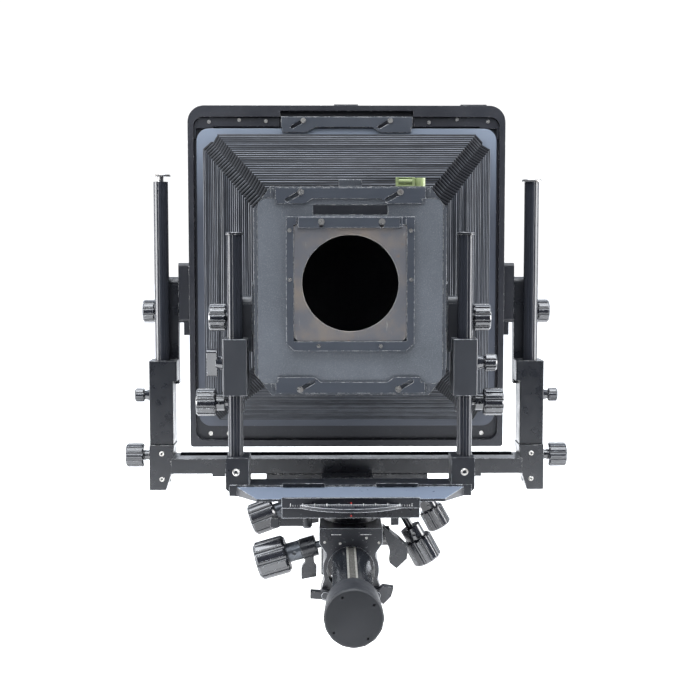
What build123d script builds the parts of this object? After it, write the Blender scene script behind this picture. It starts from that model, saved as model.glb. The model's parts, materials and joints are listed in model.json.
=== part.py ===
from build123d import *
import os
from math import atan2, cos, degrees, pi, radians, sin, sqrt, tan

# A large format monorail view camera, lens removed, standing on its tripod block.
# Millimetres, +Z up. The origin is the mouth of the tripod thread, on the block's flat base.
# The lens side faces -Y, and X = 0 is the centre plane.

# ---------------------------------------------------------------- driving dimensions
RAIL_Z = 40.0              # rail axis above the base
RAIL_TO_LENS = 239.5       # rail axis to lens axis
LENS_Z = RAIL_Z + RAIL_TO_LENS
FRONT_Y = -138.0           # front face of the lens board
EXTENSION = 249.0          # lens board face to the rear casing's front
REAR_Y = FRONT_Y + EXTENSION

RAIL_R = 19.75             # round monorail
RAIL_FLAT = 15.75          # half width across its side flats
RAIL_BORE_R = 12.5
RAIL_START = FRONT_Y - 173.0
RAIL_LENGTH = 509.0
SLIDE_FIT = 0.15           # clamp bores around the rail
RUN_FIT = 0.05             # shafts, pins and columns in their holes
GAP = 0.4                  # between faces that slide past each other

BOARD = 158.0              # square lens board
BOARD_T = 3.0
BOARD_DZ = -7.0            # board centre below the lens axis
LENS_HOLE_R = 41.0

COLUMN_R = 6.6
FRONT_COLUMN_X = 99.0
FRONT_COLUMN_Y = FRONT_Y + 10.0
FRONT_TILT_Y = FRONT_Y + 24.0
FRONT_TILT_Z = LENS_Z - 30.3

REAR_COLUMN_R = 7.6
REAR_COLUMN_X = 194.2
REAR_COLUMN_Y = REAR_Y + 16.0
REAR_TILT_Y = REAR_Y + 31.0
REAR_TILT_Z = LENS_Z - 37.8

PINION_UP = 24.5           # focus shafts pass this far above the rail axis
FRONT_SWING_Y = FRONT_Y + 4.0
REAR_SWING_Y = REAR_Y + 16.0

REAR_FRAME_W = 328.0
REAR_FRAME_TOP = 175.5     # above the lens axis
REAR_FRAME_BOTTOM = -179.0
REAR_FRAME_D = 46.0

SIDES = (-1, 1)

os.makedirs("parts", exist_ok=True)


# ---------------------------------------------------------------- helpers
def block(x0, x1, y0, y1, z0, z1):
    """Box between two corners."""
    low_x, high_x = sorted((x0, x1))
    size = (high_x - low_x, y1 - y0, z1 - z0)
    centre = ((low_x + high_x) / 2, (y0 + y1) / 2, (z0 + z1) / 2)
    return Pos(*centre) * Box(*size)


def rod(start, direction, r, length):
    """Cylinder from a start point along a direction."""
    plane = Plane(origin=start, z_dir=direction)
    return plane * Pos(0, 0, length / 2) * Cylinder(r, length)


def cone(start, direction, r0, r1, length):
    plane = Plane(origin=start, z_dir=direction)
    return plane * Pos(0, 0, length / 2) * Cone(r0, r1, length)


def slab_xz(points, y0, y1, corner=0.0):
    """Outline in X and Z, extruded from y0 to y1."""
    face = make_face(Polyline(*points, close=True))
    if corner:
        face = fillet(face.vertices(), corner)
    plane = Plane(origin=(0, y0, 0), x_dir=(1, 0, 0), z_dir=(0, -1, 0))
    return extrude(plane * face, amount=-(y1 - y0))


def plate_xz(x, z0, z1, y0, y1, corner=0.0):
    """Rectangular plate, symmetric about X = 0, with rounded corners."""
    return slab_xz([(-x, z0), (x, z0), (x, z1), (-x, z1)], y0, y1, corner)


def ring_xz(outer, inner, y0, y1):
    """Rectangular ring: outer and inner are (half width, low z, high z, corner)."""
    x, z0, z1, corner = outer
    body = plate_xz(x, z0, z1, y0, y1, corner)
    x, z0, z1, corner = inner
    return body - plate_xz(x, z0, z1, y0 - 1, y1 + 1, corner)


def fluted_knob(start, direction, r, length, flutes=12, flute_r=1.6, bevel=1.4):
    """Knob with bevelled ends and grooves along its rim."""
    body = Pos(0, 0, length / 2) * Cylinder(r, length)
    body = chamfer(body.edges().filter_by(GeomType.CIRCLE), bevel)
    groove = Pos(0, 0, length / 2) * Cylinder(flute_r, length + 2)
    for k in range(flutes):
        turn = radians(360.0 * (k + 0.5) / flutes)
        reach = r + flute_r * 0.35
        body -= Pos(reach * cos(turn), reach * sin(turn), 0) * groove
    return Plane(origin=start, z_dir=direction) * body


def fluted_column(r, length, grooves=10, groove_r=0.9):
    """Upright with shallow grooves all round, standing on z = 0."""
    section = Circle(r)
    for place in PolarLocations(r + groove_r * 0.45, grooves):
        section -= place * Circle(groove_r)
    return extrude(section, amount=length)


def sloped_slot(x, z, angle, length, r, y0, y1):
    """Slot whose ends are at (x, z) and at length along angle, cut through y0 to y1."""
    mid_x = x + cos(angle) * length / 2
    mid_z = z + sin(angle) * length / 2
    bar = Pos(mid_x, (y0 + y1) / 2, mid_z) * Rot(0, -degrees(angle), 0) * Box(length, y1 - y0, 2 * r)
    end = rod((x, y0, z), (0, 1, 0), r, y1 - y0)
    far = rod((x + cos(angle) * length, y0, z + sin(angle) * length), (0, 1, 0), r, y1 - y0)
    return bar + end + far


def save(name, shape):
    export_step(shape, f"parts/{name}.step")


def save_group(name, shapes):
    export_step(Compound(children=list(shapes)), f"parts/{name}.step")


# ---------------------------------------------------------------- rail and tripod block
TRIPOD_X = 26.0
TRIPOD_Y = 34.0
THREAD_R = 4.76            # 3/8 inch tripod thread
THREAD_DEPTH = 12.0
LOCK_Z = RAIL_Z - 10.5


def rail_section(r, flat):
    """Round section with two side flats, in X and Z about the rail axis."""
    return Circle(r) & Rectangle(2 * flat, 2 * r + 2)


def along_rail(section, y0, y1):
    plane = Plane(origin=(0, y0, RAIL_Z), x_dir=(1, 0, 0), z_dir=(0, -1, 0))
    return extrude(plane * section, amount=-(y1 - y0))


def make_tripod_block():
    body = block(-TRIPOD_X, TRIPOD_X, -TRIPOD_Y, TRIPOD_Y, 0, RAIL_Z)
    body = chamfer(body.edges().filter_by(Axis.Z), 3)
    body += along_rail(Circle(25.0), -TRIPOD_Y, TRIPOD_Y)
    body -= along_rail(Circle(RAIL_R + SLIDE_FIT), -TRIPOD_Y - 1, TRIPOD_Y + 1)
    body -= rod((0, 0, -1), (0, 0, 1), THREAD_R, THREAD_DEPTH + 1)
    body -= rod((RAIL_FLAT, 0, LOCK_Z), (1, 0, 0), 3.0 + RUN_FIT, 20)
    return body


def make_tripod_lock_knob():
    tip = RAIL_FLAT + 0.3
    shaft = rod((tip, 0, LOCK_Z), (1, 0, 0), 3.0, 30.5 - tip)
    return shaft + fluted_knob((30, 0, LOCK_Z), (1, 0, 0), 8.5, 11, flutes=10, flute_r=1.2, bevel=1)


RACK_W = 8.0
RACK_FLOOR = 16.0
RACK_TOP = 19.2
TOOTH_PITCH = 2.5


def make_rail_tube():
    section = rail_section(RAIL_R, RAIL_FLAT) - Circle(RAIL_BORE_R)
    section -= Pos(0, RACK_FLOOR + 5) * Rectangle(RACK_W + 0.1, 10)
    return along_rail(section, RAIL_START, RAIL_START + RAIL_LENGTH)


def make_rail_rack():
    """Strip with plain sides and a toothed middle."""
    y0 = RAIL_START + 2
    y1 = RAIL_START + RAIL_LENGTH - 2
    slot_x = 2.4
    root = RAIL_Z + RACK_FLOOR + 1.2
    tip = RAIL_Z + RACK_TOP - 0.2
    strip = block(-RACK_W / 2, RACK_W / 2, y0, y1, RAIL_Z + RACK_FLOOR, RAIL_Z + RACK_TOP)
    strip -= block(-slot_x, slot_x, y0 - 1, y1 + 1, root, RAIL_Z + RAIL_R)
    outline = [(y0, root - 0.4)]
    count = int((y1 - y0) / TOOTH_PITCH)
    for k in range(count):
        start = y0 + k * TOOTH_PITCH
        outline += [(start, root), (start + 0.7, tip), (start + 1.4, tip), (start + 2.1, root)]
    outline += [(y0 + count * TOOTH_PITCH, root), (y0 + count * TOOTH_PITCH, root - 0.4)]
    face = make_face(Polyline(*outline, close=True))
    plane = Plane(origin=(-slot_x, 0, 0), x_dir=(0, 1, 0), z_dir=(1, 0, 0))
    return strip + extrude(plane * face, amount=2 * slot_x)


CAP_R = 22.3
CAP_BACK_R = 20.9
CAP_LENGTH = 38.0
CAP_FACE_T = 7.0
CAP_FACETS = 16


def make_rail_cap(y_face, toward):
    """Faceted sleeve with a closed, wider end. toward is +1 when the tube lies at higher Y."""
    direction = (0, toward, 0)
    body = cone((0, y_face, RAIL_Z), direction, CAP_R, CAP_BACK_R, CAP_LENGTH)
    body = chamfer(body.edges().filter_by(GeomType.CIRCLE).sort_by(Axis.Y)[0 if toward > 0 else -1], 1.4)
    far = y_face + toward * CAP_LENGTH
    body &= along_rail(RegularPolygon(CAP_R + 0.1, CAP_FACETS), min(y_face, far) - 1, max(y_face, far) + 1)
    inside = rail_section(RAIL_R + RUN_FIT, RAIL_FLAT + RUN_FIT)
    start = y_face + toward * CAP_FACE_T
    end = y_face + toward * (CAP_LENGTH + 1)
    body -= along_rail(inside, min(start, end), max(start, end))
    for turn_deg in (35, 118, 215, 305):
        turn = radians(turn_deg)
        body -= rod((18 * cos(turn), y_face, RAIL_Z + 18 * sin(turn)), direction, 0.9, 1.5)
    return body


# ---------------------------------------------------------------- clamps on the rail
CLAMP_X = 26.5
NECK_X = 20.8
HOUSING_Z = RAIL_Z + 22.5
JAW_R = 23.6
JAW_LENGTH = 24.0
LATCH_R = 2.0


def focus_frame(y, slope):
    """Point above the rail and outward direction of a focus shaft that slopes down to the left."""
    point = (0, y, RAIL_Z + PINION_UP)
    direction = (-cos(radians(slope)), 0, -sin(radians(slope)))
    return point, direction


def along(point, direction, t):
    return tuple(p + d * t for p, d in zip(point, direction))


def latch_pivot(side, y_front):
    return (side * 21.5, y_front, RAIL_Z - 19.5)


def make_clamp(y0, y1, top, low_top, step_y, focus, pin, lock):
    """Clamp block: a flat-topped housing on a neck, over a saddle and a jaw ring that is open below."""
    body = block(-CLAMP_X, CLAMP_X, y0, step_y, HOUSING_Z, RAIL_Z + top)
    body += block(-CLAMP_X, CLAMP_X, step_y, y1, HOUSING_Z, RAIL_Z + low_top)
    neck = [(-CLAMP_X, HOUSING_Z + 0.1), (-NECK_X, RAIL_Z + 14), (-NECK_X, RAIL_Z + 8),
            (NECK_X, RAIL_Z + 8), (NECK_X, RAIL_Z + 14), (CLAMP_X, HOUSING_Z + 0.1)]
    body += slab_xz(neck, y0, y1)
    body += along_rail(Circle(JAW_R), y0, y1)
    for side in SIDES:
        x, _, z = latch_pivot(side, y0)
        body += rod((x, y0, z), (0, 1, 0), 4.2, y1 - y0)
        web = [(side * 14, RAIL_Z - 12), (side * 22.4, RAIL_Z - 8), (side * 25.6, RAIL_Z - 18.6), (side * 19, RAIL_Z - 23)]
        body += slab_xz(web, y0, y1)
    body -= block(-40, 40, y0 + JAW_LENGTH, y1 + 1, RAIL_Z - 40, RAIL_Z + 4)
    body -= along_rail(Circle(RAIL_R + SLIDE_FIT), y0 - 1, y1 + 1)
    body -= block(-14, 14, y0 - 1, y1 + 1, RAIL_Z - 40, RAIL_Z - 12)
    for side in SIDES:
        x, y, z = latch_pivot(side, y0)
        body += rod((x, y - 9.4, z), (0, 1, 0), LATCH_R, 10)
        body += rod((x, y - 10.4, z), (0, 1, 0), LATCH_R + 1.2, 1.2)
    point, direction = focus
    body -= rod(point, direction, 3.0 + RUN_FIT, 60)
    body -= rod(along(point, direction, -4.5), direction, 4.8, 9)
    pin_y, pin_r, pin_h = pin
    body += rod((0, pin_y, RAIL_Z + low_top - 1), (0, 0, 1), pin_r, pin_h + 1)
    if lock:
        lock_y, lock_z = lock
        body -= rod((CLAMP_X - 12, lock_y, lock_z), (1, 0, 0), 3.0 + RUN_FIT, 20)
    return body


def make_focus_shaft(focus, collar_start):
    """Pinion, shaft and collar with a set screw hole."""
    point, direction = focus
    shaft = rod(along(point, direction, -4), direction, 3.0, collar_start + 18)
    shaft += rod(along(point, direction, -2), direction, 4.2, 4)
    collar = rod(along(point, direction, collar_start), direction, 8.2, 12)
    centre = along(point, direction, collar_start + 6)
    collar -= rod(along(centre, (0, -1, 0), 5.5), (0, -1, 0), 1.5, 5)
    return shaft + collar


def make_focus_knob(focus, start, r=16.3, length=27.0):
    point, direction = focus
    knob = fluted_knob(along(point, direction, start), direction, r, length, 10, 2.4, 2.2)
    return knob - rod(along(point, direction, start - 1), direction, 3.0 + RUN_FIT, 8)


def make_wing_lever(focus, start):
    """Lever with its hub around the focus shaft and a tail that widens at its foot."""
    point, direction = focus
    hub = rod(along(point, direction, start), direction, 8.8, 13)
    x, y, z = along(point, direction, start + 6.5)
    tail = slab_xz([(x - 3, z - 4), (x + 4, z - 4), (x + 4.4, z - 14), (x + 6.4, z - 17), (x + 6.4, z - 24.5),
                    (x - 6.4, z - 27), (x - 6.4, z - 17), (x - 3.4, z - 13)], y - 4.5, y + 4.5)
    body = hub + tail
    return body - rod(along(point, direction, start - 5), direction, 3.0 + RUN_FIT, 30)


def make_swing_lock(lock, x0):
    """Cranked lever on the right side of a clamp, with its screw in the block."""
    y, z = lock
    screw = rod((CLAMP_X - 11, y, z), (1, 0, 0), 3.0, x0 + 4 - CLAMP_X + 11)
    hub = rod((x0, y, z), (1, 0, 0), 6.5, 5.5)
    arm_points = [(x0, z + 7.5), (x0 + 14, z - 3.4), (x0 + 21.4, z - 11), (x0 + 20.4, z - 20), (x0 + 11.6, z - 28.5),
                  (x0 + 5.8, z - 23.5), (x0 + 6.6, z - 15), (x0 + 1, z + 0.5)]
    arm = slab_xz(arm_points, y - 7, y + 7)
    return screw + hub + arm


def make_latch(side, y_front):
    """Small lever on a jaw's pivot pin. The right one carries a broad thumb piece."""
    x, y, z = latch_pivot(side, y_front)
    hub = rod((x, y - 8.8, z), (0, 1, 0), 4.4, 8.4)
    if side < 0:
        arm_points = [(x, z - 3.4), (x, z + 2.6), (x - 12.5, z + 3.4), (x - 12.5, z - 2.6)]
    else:
        arm_points = [(x, z + 3), (x + 5, z + 8), (x + 14, z + 6.4), (x + 12, z - 0.8), (x + 5.5, z - 7.6), (x, z - 3.4)]
    body = hub + slab_xz(arm_points, y - 8.8, y - 0.4)
    return body - rod((x, y - 12, z), (0, 1, 0), LATCH_R + RUN_FIT, 20)


# ---------------------------------------------------------------- front base
FRONT_CLAMP = (FRONT_Y - 35, FRONT_Y + 35)
FRONT_CLAMP_TOP = 35.4
FRONT_SWING_BOTTOM = LENS_Z - 196.5
FRONT_SWING_TOP = LENS_Z - 183.0
FRONT_FOCUS = focus_frame(FRONT_Y - 12, 16)
FRONT_LOCK = (FRONT_Y - 24, LENS_Z - 211)
FRONT_PIN = (FRONT_SWING_Y, 9.0, 16.2)
TURNTABLE_R = 22.5
TURNTABLE_Z = RAIL_Z + FRONT_CLAMP_TOP + GAP
SHIFT_SLOPE = radians(61.0)
SHIFT_DIR = (cos(SHIFT_SLOPE), 0, -sin(SHIFT_SLOPE))
FRONT_SHIFT_OUT = (68.4, FRONT_Y + 8, LENS_Z - 241.5)
FRONT_SHIFT_REACH = 56.5
SHIFT_LOCK_PIVOT = (-37.0, FRONT_Y - 22)
LUG_X = (34.0, 40.6)


def make_swing_plate(half_x, y0, y1, z0, z1, pin, rib, bore_end):
    """Plate that turns on the clamp's pin, with a rib along X for the shift slide."""
    body = block(-half_x, half_x, y0, y1, z0, z1)
    rib_y, rib_half, rib_h = rib
    body += block(-half_x, half_x, rib_y - rib_half, rib_y + rib_half, z1, z1 + rib_h)
    pin_y, pin_r, _ = pin
    body -= rod((0, pin_y, z0 - 1), (0, 0, 1), pin_r + RUN_FIT, bore_end + 1)
    return body


def shift_shaft_hole(out, reach, r=3.3):
    """Bore for the inclined shift shaft, just past its inner end."""
    start = along(out, SHIFT_DIR, -reach - 0.5)
    return rod(start, SHIFT_DIR, r + RUN_FIT, 20)


def make_front_swing_plate():
    rib = (FRONT_SWING_Y, 8.0, 3.4)
    body = make_swing_plate(58, FRONT_Y - 30, FRONT_Y + 34, FRONT_SWING_BOTTOM, FRONT_SWING_TOP,
                            FRONT_PIN, rib, 9.8)
    turntable = rod((0, FRONT_SWING_Y, TURNTABLE_Z), (0, 0, 1), TURNTABLE_R, FRONT_SWING_BOTTOM - TURNTABLE_Z + 0.5)
    body += turntable - rod((0, FRONT_SWING_Y, TURNTABLE_Z - 1), (0, 0, 1), FRONT_PIN[1] + RUN_FIT, 12)
    sector = rod((0, FRONT_SWING_Y, FRONT_SWING_TOP - 4.3), (0, 0, 1), 57, 3)
    body += sector & block(-57, 57, FRONT_Y - 60, FRONT_Y - 20, FRONT_SWING_BOTTOM, FRONT_SWING_TOP)
    body += block(-58, 58, FRONT_Y - 34.5, FRONT_Y - 31.5, FRONT_SWING_TOP - 1.2, LENS_Z - 178.3)
    body += block(-58, 58, FRONT_Y - 34.5, FRONT_Y - 29.5, FRONT_SWING_TOP - 4.2, FRONT_SWING_TOP - 1)
    x, y = SHIFT_LOCK_PIVOT
    for side in SIDES:
        body += block(side * LUG_X[0], side * LUG_X[1], y - 4, y + 4, FRONT_SWING_BOTTOM - 0.5, FRONT_SWING_BOTTOM + 1)
    body += rod((x, y, FRONT_SWING_BOTTOM - 8.6), (0, 0, 1), 2.2, 9)
    body += rod((x, y, FRONT_SWING_BOTTOM - 9.6), (0, 0, 1), 3.4, 1.4)
    body += block(LUG_X[0], LUG_X[1], y - 4, y + 4, FRONT_SWING_BOTTOM - 7, FRONT_SWING_BOTTOM)
    return body - shift_shaft_hole(FRONT_SHIFT_OUT, FRONT_SHIFT_REACH)


def make_front_shift_lock():
    """Flat lever under the left end of the swing plate."""
    x, y = SHIFT_LOCK_PIVOT
    top = FRONT_SWING_BOTTOM - 0.8
    arm = block(x + 3.6, x - 24, y - 3.2, y + 3.2, top - 7.0, top)
    hub = rod((x, y, top - 7.4), (0, 0, 1), 4.4, 7.4)
    paddle = block(x - 23, x - 31, y - 4.5, y + 4.5, top - 8.2, top)
    paddle = fillet(paddle.edges().filter_by(Axis.Y), 2.2)
    body = arm + hub + paddle
    return body - rod((x, y, top - 12), (0, 0, 1), 2.2 + RUN_FIT, 20)


def make_shift_knob(out, reach):
    """Knob, collar and shaft of the geared lateral shift, in one turned piece."""
    inward = tuple(-d for d in SHIFT_DIR)
    knob = fluted_knob(along(out, inward, 22.5), SHIFT_DIR, 12.9, 22.5, 12, 1.7, 1.6)
    collar = rod(along(out, inward, 33.5), SHIFT_DIR, 9.0, 11.2)
    shaft = rod(along(out, inward, reach), SHIFT_DIR, 3.3, reach - 20)
    centre = along(out, inward, 28)
    screw = rod(along(centre, (0, -1, 0), 6.6), (0, -1, 0), 1.4, 5)
    return knob + collar + shaft - screw


YOKE_BOTTOM = FRONT_SWING_TOP + 0.5
YOKE_TOP = LENS_Z - 172.9
YOKE_ARM_TOP = LENS_Z - 149.6
SOCKET_FLOOR = LENS_Z - 176.0


def make_front_yoke():
    """U shaped carrier: a base bar with a sloping front ledge and two column sockets."""
    body = block(-104, 104, FRONT_Y - 5, FRONT_Y + 26, YOKE_BOTTOM, YOKE_TOP)
    ledge_face = make_face(Polyline(
        (FRONT_Y - 4, YOKE_BOTTOM), (FRONT_Y - 30, YOKE_BOTTOM), (FRONT_Y - 30, LENS_Z - 180.2),
        (FRONT_Y - 5, LENS_Z - 174.5), (FRONT_Y - 4, LENS_Z - 174.5), close=True))
    plane = Plane(origin=(-98, 0, 0), x_dir=(0, 1, 0), z_dir=(1, 0, 0))
    ledge = extrude(plane * ledge_face, amount=196)
    for side in SIDES:
        corner = make_face(Polyline(
            (side * 97.5, FRONT_Y - 5), (side * 78.5, FRONT_Y - 31), (side * 110, FRONT_Y - 31),
            (side * 110, FRONT_Y - 5), close=True))
        ledge -= extrude(Pos(0, 0, YOKE_BOTTOM - 1) * corner, amount=20)
    body += ledge
    for side in SIDES:
        arm = block(side * 87, side * 107, FRONT_Y - 4, FRONT_Y + 26, YOKE_BOTTOM, YOKE_ARM_TOP)
        outer = arm.edges().filter_by(Axis.Y).sort_by(Axis.X)[0 if side < 0 else -1]
        low_outer = arm.edges().filter_by(Axis.Y).group_by(Axis.Z)[0].sort_by(Axis.X)
        arm = chamfer(low_outer[0 if side < 0 else -1], 6)
        body += arm
        body -= rod((side * FRONT_COLUMN_X, FRONT_COLUMN_Y, SOCKET_FLOOR), (0, 0, 1), COLUMN_R + RUN_FIT, 40)
    rib_y = FRONT_SWING_Y
    body -= block(-110, 110, rib_y - 8 - GAP, rib_y + 8 + GAP, YOKE_BOTTOM - 1, YOKE_BOTTOM + 3.4)
    for side in SIDES:
        body += block(side * 22, side * 58, FRONT_Y - 7, FRONT_Y - 4, LENS_Z - 174.4, LENS_Z - 171.2)
    return body


FRONT_CAP_Z = LENS_Z + 41.0


def make_front_columns():
    length = FRONT_CAP_Z - SOCKET_FLOOR - 0.1
    column = fluted_column(COLUMN_R, length)
    return [Pos(side * FRONT_COLUMN_X, FRONT_COLUMN_Y, SOCKET_FLOOR + 0.1) * column for side in SIDES]


def make_front_column_caps():
    caps = []
    for side in SIDES:
        cap = rod((side * FRONT_COLUMN_X, FRONT_COLUMN_Y, FRONT_CAP_Z), (0, 0, 1), 7.6, 2.4)
        cap = chamfer(cap.edges().filter_by(GeomType.CIRCLE).sort_by(Axis.Z)[-1], 0.6)
        caps.append(cap)
    return caps


# ---------------------------------------------------------------- front carriages and their controls
CARRIAGE_TOP = LENS_Z - 48.0
CARRIAGE_BOTTOM = LENS_Z - 96.4
FRONT_RISE_Z = LENS_Z - 104.4
FRONT_RISE_Y = FRONT_COLUMN_Y + 13.0
RISE_LOCK_Z = LENS_Z - 68.7


def make_front_carriage(side):
    """Bored block around a column, an upper arm for the tilt axis and a lobe for the rise pinion."""
    back = FRONT_Y + 32
    body = block(side * 88.2, side * 109, FRONT_Y - 2, back, CARRIAGE_BOTTOM, CARRIAGE_TOP)
    body = fillet(body.edges().filter_by(Axis.Z), 1.5)
    arm = block(side * 84.8, side * 94.2, FRONT_Y + 17.4, back - 1.5, LENS_Z - 60, FRONT_TILT_Z + 12)
    arm += rod((side * 84.8, FRONT_TILT_Y, FRONT_TILT_Z + 12), (side, 0, 0), 6.5, 9.4)
    lobe = block(side * 92.5, side * 105.5, FRONT_Y + 17.4, back - 1, LENS_Z - 113, CARRIAGE_BOTTOM + 5)
    lobe = fillet(lobe.edges().filter_by(Axis.X).group_by(Axis.Z)[0], 4)
    body += arm + lobe
    body -= rod((side * FRONT_COLUMN_X, FRONT_COLUMN_Y, LENS_Z - 120), (0, 0, 1), COLUMN_R + RUN_FIT, 100)
    body -= rod((side * 80, FRONT_TILT_Y, FRONT_TILT_Z), (side, 0, 0), 4.0 + RUN_FIT, 40)
    body -= rod((side * 94, FRONT_RISE_Y, FRONT_RISE_Z), (side, 0, 0), 3.0 + RUN_FIT, 30)
    body -= rod((side * 103, FRONT_COLUMN_Y, RISE_LOCK_Z), (side, 0, 0), 2.5 + RUN_FIT, 20)
    return body


def make_rise_knob(side, x, y, z, shaft_in):
    """Rise knob with a collar and its pinion shaft."""
    out = (side, 0, 0)
    shaft = rod((side * shaft_in, y, z), out, 3.0, x - shaft_in + 4)
    collar = rod((side * x, y, z), out, 7.4, 7.2)
    collar -= rod((side * (x + 3.6), y - 5, z), (0, -1, 0), 1.3, 5)
    knob = fluted_knob((side * (x + 7.4), y, z), out, 12.1, 17.2, 12, 1.6, 1.5)
    return shaft + collar + knob + rod((side * (x + 7), y, z), out, 5, 2)


def make_tilt_knob(side, x_in, x_knob, y, z, r, length):
    """Tilt lock knob on the shaft that is also the tilt axis."""
    out = (side, 0, 0)
    shaft = rod((side * x_in, y, z), out, 4.0, x_knob - x_in + 2)
    return shaft + fluted_knob((side * x_knob, y, z), out, r, length, 12, 1.6, 1.4)


def make_rise_lock_wing(side):
    """Two-winged lock lever on a conical hub."""
    out = (side, 0, 0)
    x = 109.6
    screw = rod((side * 105.9, FRONT_COLUMN_Y, RISE_LOCK_Z), out, 2.5, 6)
    hub = cone((side * x, FRONT_COLUMN_Y, RISE_LOCK_Z), out, 6.5, 4.6, 6)
    wing = Pos(side * (x + 9.5), FRONT_COLUMN_Y, RISE_LOCK_Z) * Rot(18, 0, 0) * Box(9, 6, 24)
    wing = fillet(wing.edges().filter_by(Axis.X), 1.8)
    return screw + hub + wing


def make_rise_lock_knob(side, x, y, z, r_cone, r, cone_length, knob_length, tip):
    """Small lock knob with a conical neck."""
    out = (side, 0, 0)
    screw = rod((side * tip, y, z), out, 2.5, x - tip + 3)
    neck = cone((side * x, y, z), out, r_cone, 4.4, cone_length)
    knob = fluted_knob((side * (x + cone_length - 0.5), y, z), out, r, knob_length, 8, 1.4, 1.2)
    return screw + neck + knob


# ---------------------------------------------------------------- front frame and its boards
FRAME_X = 81.8
FRAME_Z0 = LENS_Z - 95.8
FRAME_Z1 = LENS_Z + 82.0
FRAME_D = 30.0
SLIDER_ANGLE = radians(30.4)


def octagon(x, z0, z1, cut_x, cut_z):
    return [(-x, z0 + cut_z), (-x + cut_x, z0), (x - cut_x, z0), (x, z0 + cut_z),
            (x, z1 - cut_z), (x - cut_x, z1), (-x + cut_x, z1), (-x, z1 - cut_z)]


def make_front_frame():
    """Eight-sided ring that seats the lens board, with ears for the tilt axis."""
    body = slab_xz(octagon(FRAME_X, FRAME_Z0, FRAME_Z1, 14.5, 18.5), FRONT_Y, FRONT_Y + FRAME_D)
    seat_z = LENS_Z + BOARD_DZ
    half = BOARD / 2 + 0.1
    body -= plate_xz(half, seat_z - half, seat_z + half, FRONT_Y - 1, FRONT_Y + BOARD_T + 0.5, 8)
    body -= plate_xz(68, seat_z - 68, seat_z + 68, FRONT_Y, FRONT_Y + FRAME_D + 1, 4)
    for side in SIDES:
        ear = block(side * (FRAME_X - 2), side * 84.4, FRONT_Y + 13, FRONT_Y + 33, FRONT_TILT_Z - 15, FRONT_TILT_Z + 31)
        ear = fillet(ear.edges().filter_by(Axis.X), 3)
        body += ear
        body -= rod((side * 80.2, FRONT_TILT_Y, FRONT_TILT_Z), (side, 0, 0), 4.0 + RUN_FIT, 10)
        for stop_z in (LENS_Z + 73.5, LENS_Z - 92.5):
            body += block(side * 65.2, side * 67.6, FRONT_Y - 0.2, FRONT_Y + 1, stop_z, stop_z + 6.5)
    body += block(-9.7, 9.7, FRONT_Y + 2, FRONT_Y + 14, FRAME_Z1 - 1, FRAME_Z1 + 5.6)
    return body


def slider_outline(x, z0, z1, ears, ear_z):
    """Slider bar with two ears that reach over the board's edge. ears are (start, end, slope end)."""
    (a0, a1, a2), (b2, b0, b1) = ears
    near = z0 if ear_z < z0 else z1
    far = z1 if ear_z < z0 else z0
    return [(-x, far), (x, far), (x, near), (b1, near), (b1, ear_z), (b0, ear_z), (b2, near),
            (a2, near), (a1, ear_z), (a0, ear_z), (a0, near), (-x, near)]


def make_slider(outline, pins, angle, y0, y1):
    """Locking slider whose sloping slots run on fixed pins."""
    body = slab_xz(outline, y0, y1)
    for x, z in pins:
        body -= sloped_slot(x, z, angle, 13.2, 1.75, y0 - 1, y1 + 1)
    return body


TOP_PINS = [(-41.9, LENS_Z + 77.0), (42.4, LENS_Z + 77.0)]
BOTTOM_PINS = [(-43.0, LENS_Z - 90.9), (41.0, LENS_Z - 90.6)]
REAR_PINS = [(-44.8, LENS_Z + 160.0), (44.8, LENS_Z + 160.0)]


def make_front_sliders():
    y0 = FRONT_Y - 1.8
    y1 = FRONT_Y - 0.3
    top = slider_outline(63.6, LENS_Z + 71.4, LENS_Z + 80.8,
                         ((-62.8, -38.4, -32.4), (26.5, 31.4, 60.8)), LENS_Z + 67.3)
    bottom = slider_outline(63.8, LENS_Z - 94.2, LENS_Z - 84.6,
                            ((-62.0, -30.8, -25.3), (31.9, 37.7, 59.8)), LENS_Z - 80.4)
    down_left = SLIDER_ANGLE + pi
    return (make_slider(top, TOP_PINS, down_left, y0, y1),
            make_slider(bottom, BOTTOM_PINS, SLIDER_ANGLE, y0, y1))


def make_headed_pin(x, z, y_front, y_back, r=1.6, head_r=2.7):
    return rod((x, y_front + 0.8, z), (0, 1, 0), r, y_back - y_front - 0.8) + rod((x, y_front, z), (0, 1, 0), head_r, 1.0)


def make_lens_board():
    z = LENS_Z + BOARD_DZ
    half = BOARD / 2
    body = plate_xz(half, z - half, z + half, FRONT_Y + 0.2, FRONT_Y + 0.2 + BOARD_T, 8)
    body -= plate_xz(46.5, LENS_Z - 47, LENS_Z + 47, FRONT_Y - 1, FRONT_Y + BOARD_T + 1, 3)
    return body - plate_xz(32, LENS_Z + 57.8, LENS_Z + 66.5, FRONT_Y - 1, FRONT_Y + 0.8, 1)


ADAPTER_X = 54.4
SMALL_X = 48.0
SMALL_Z = 49.5
ADAPTER_Y = FRONT_Y - 4.2


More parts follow.
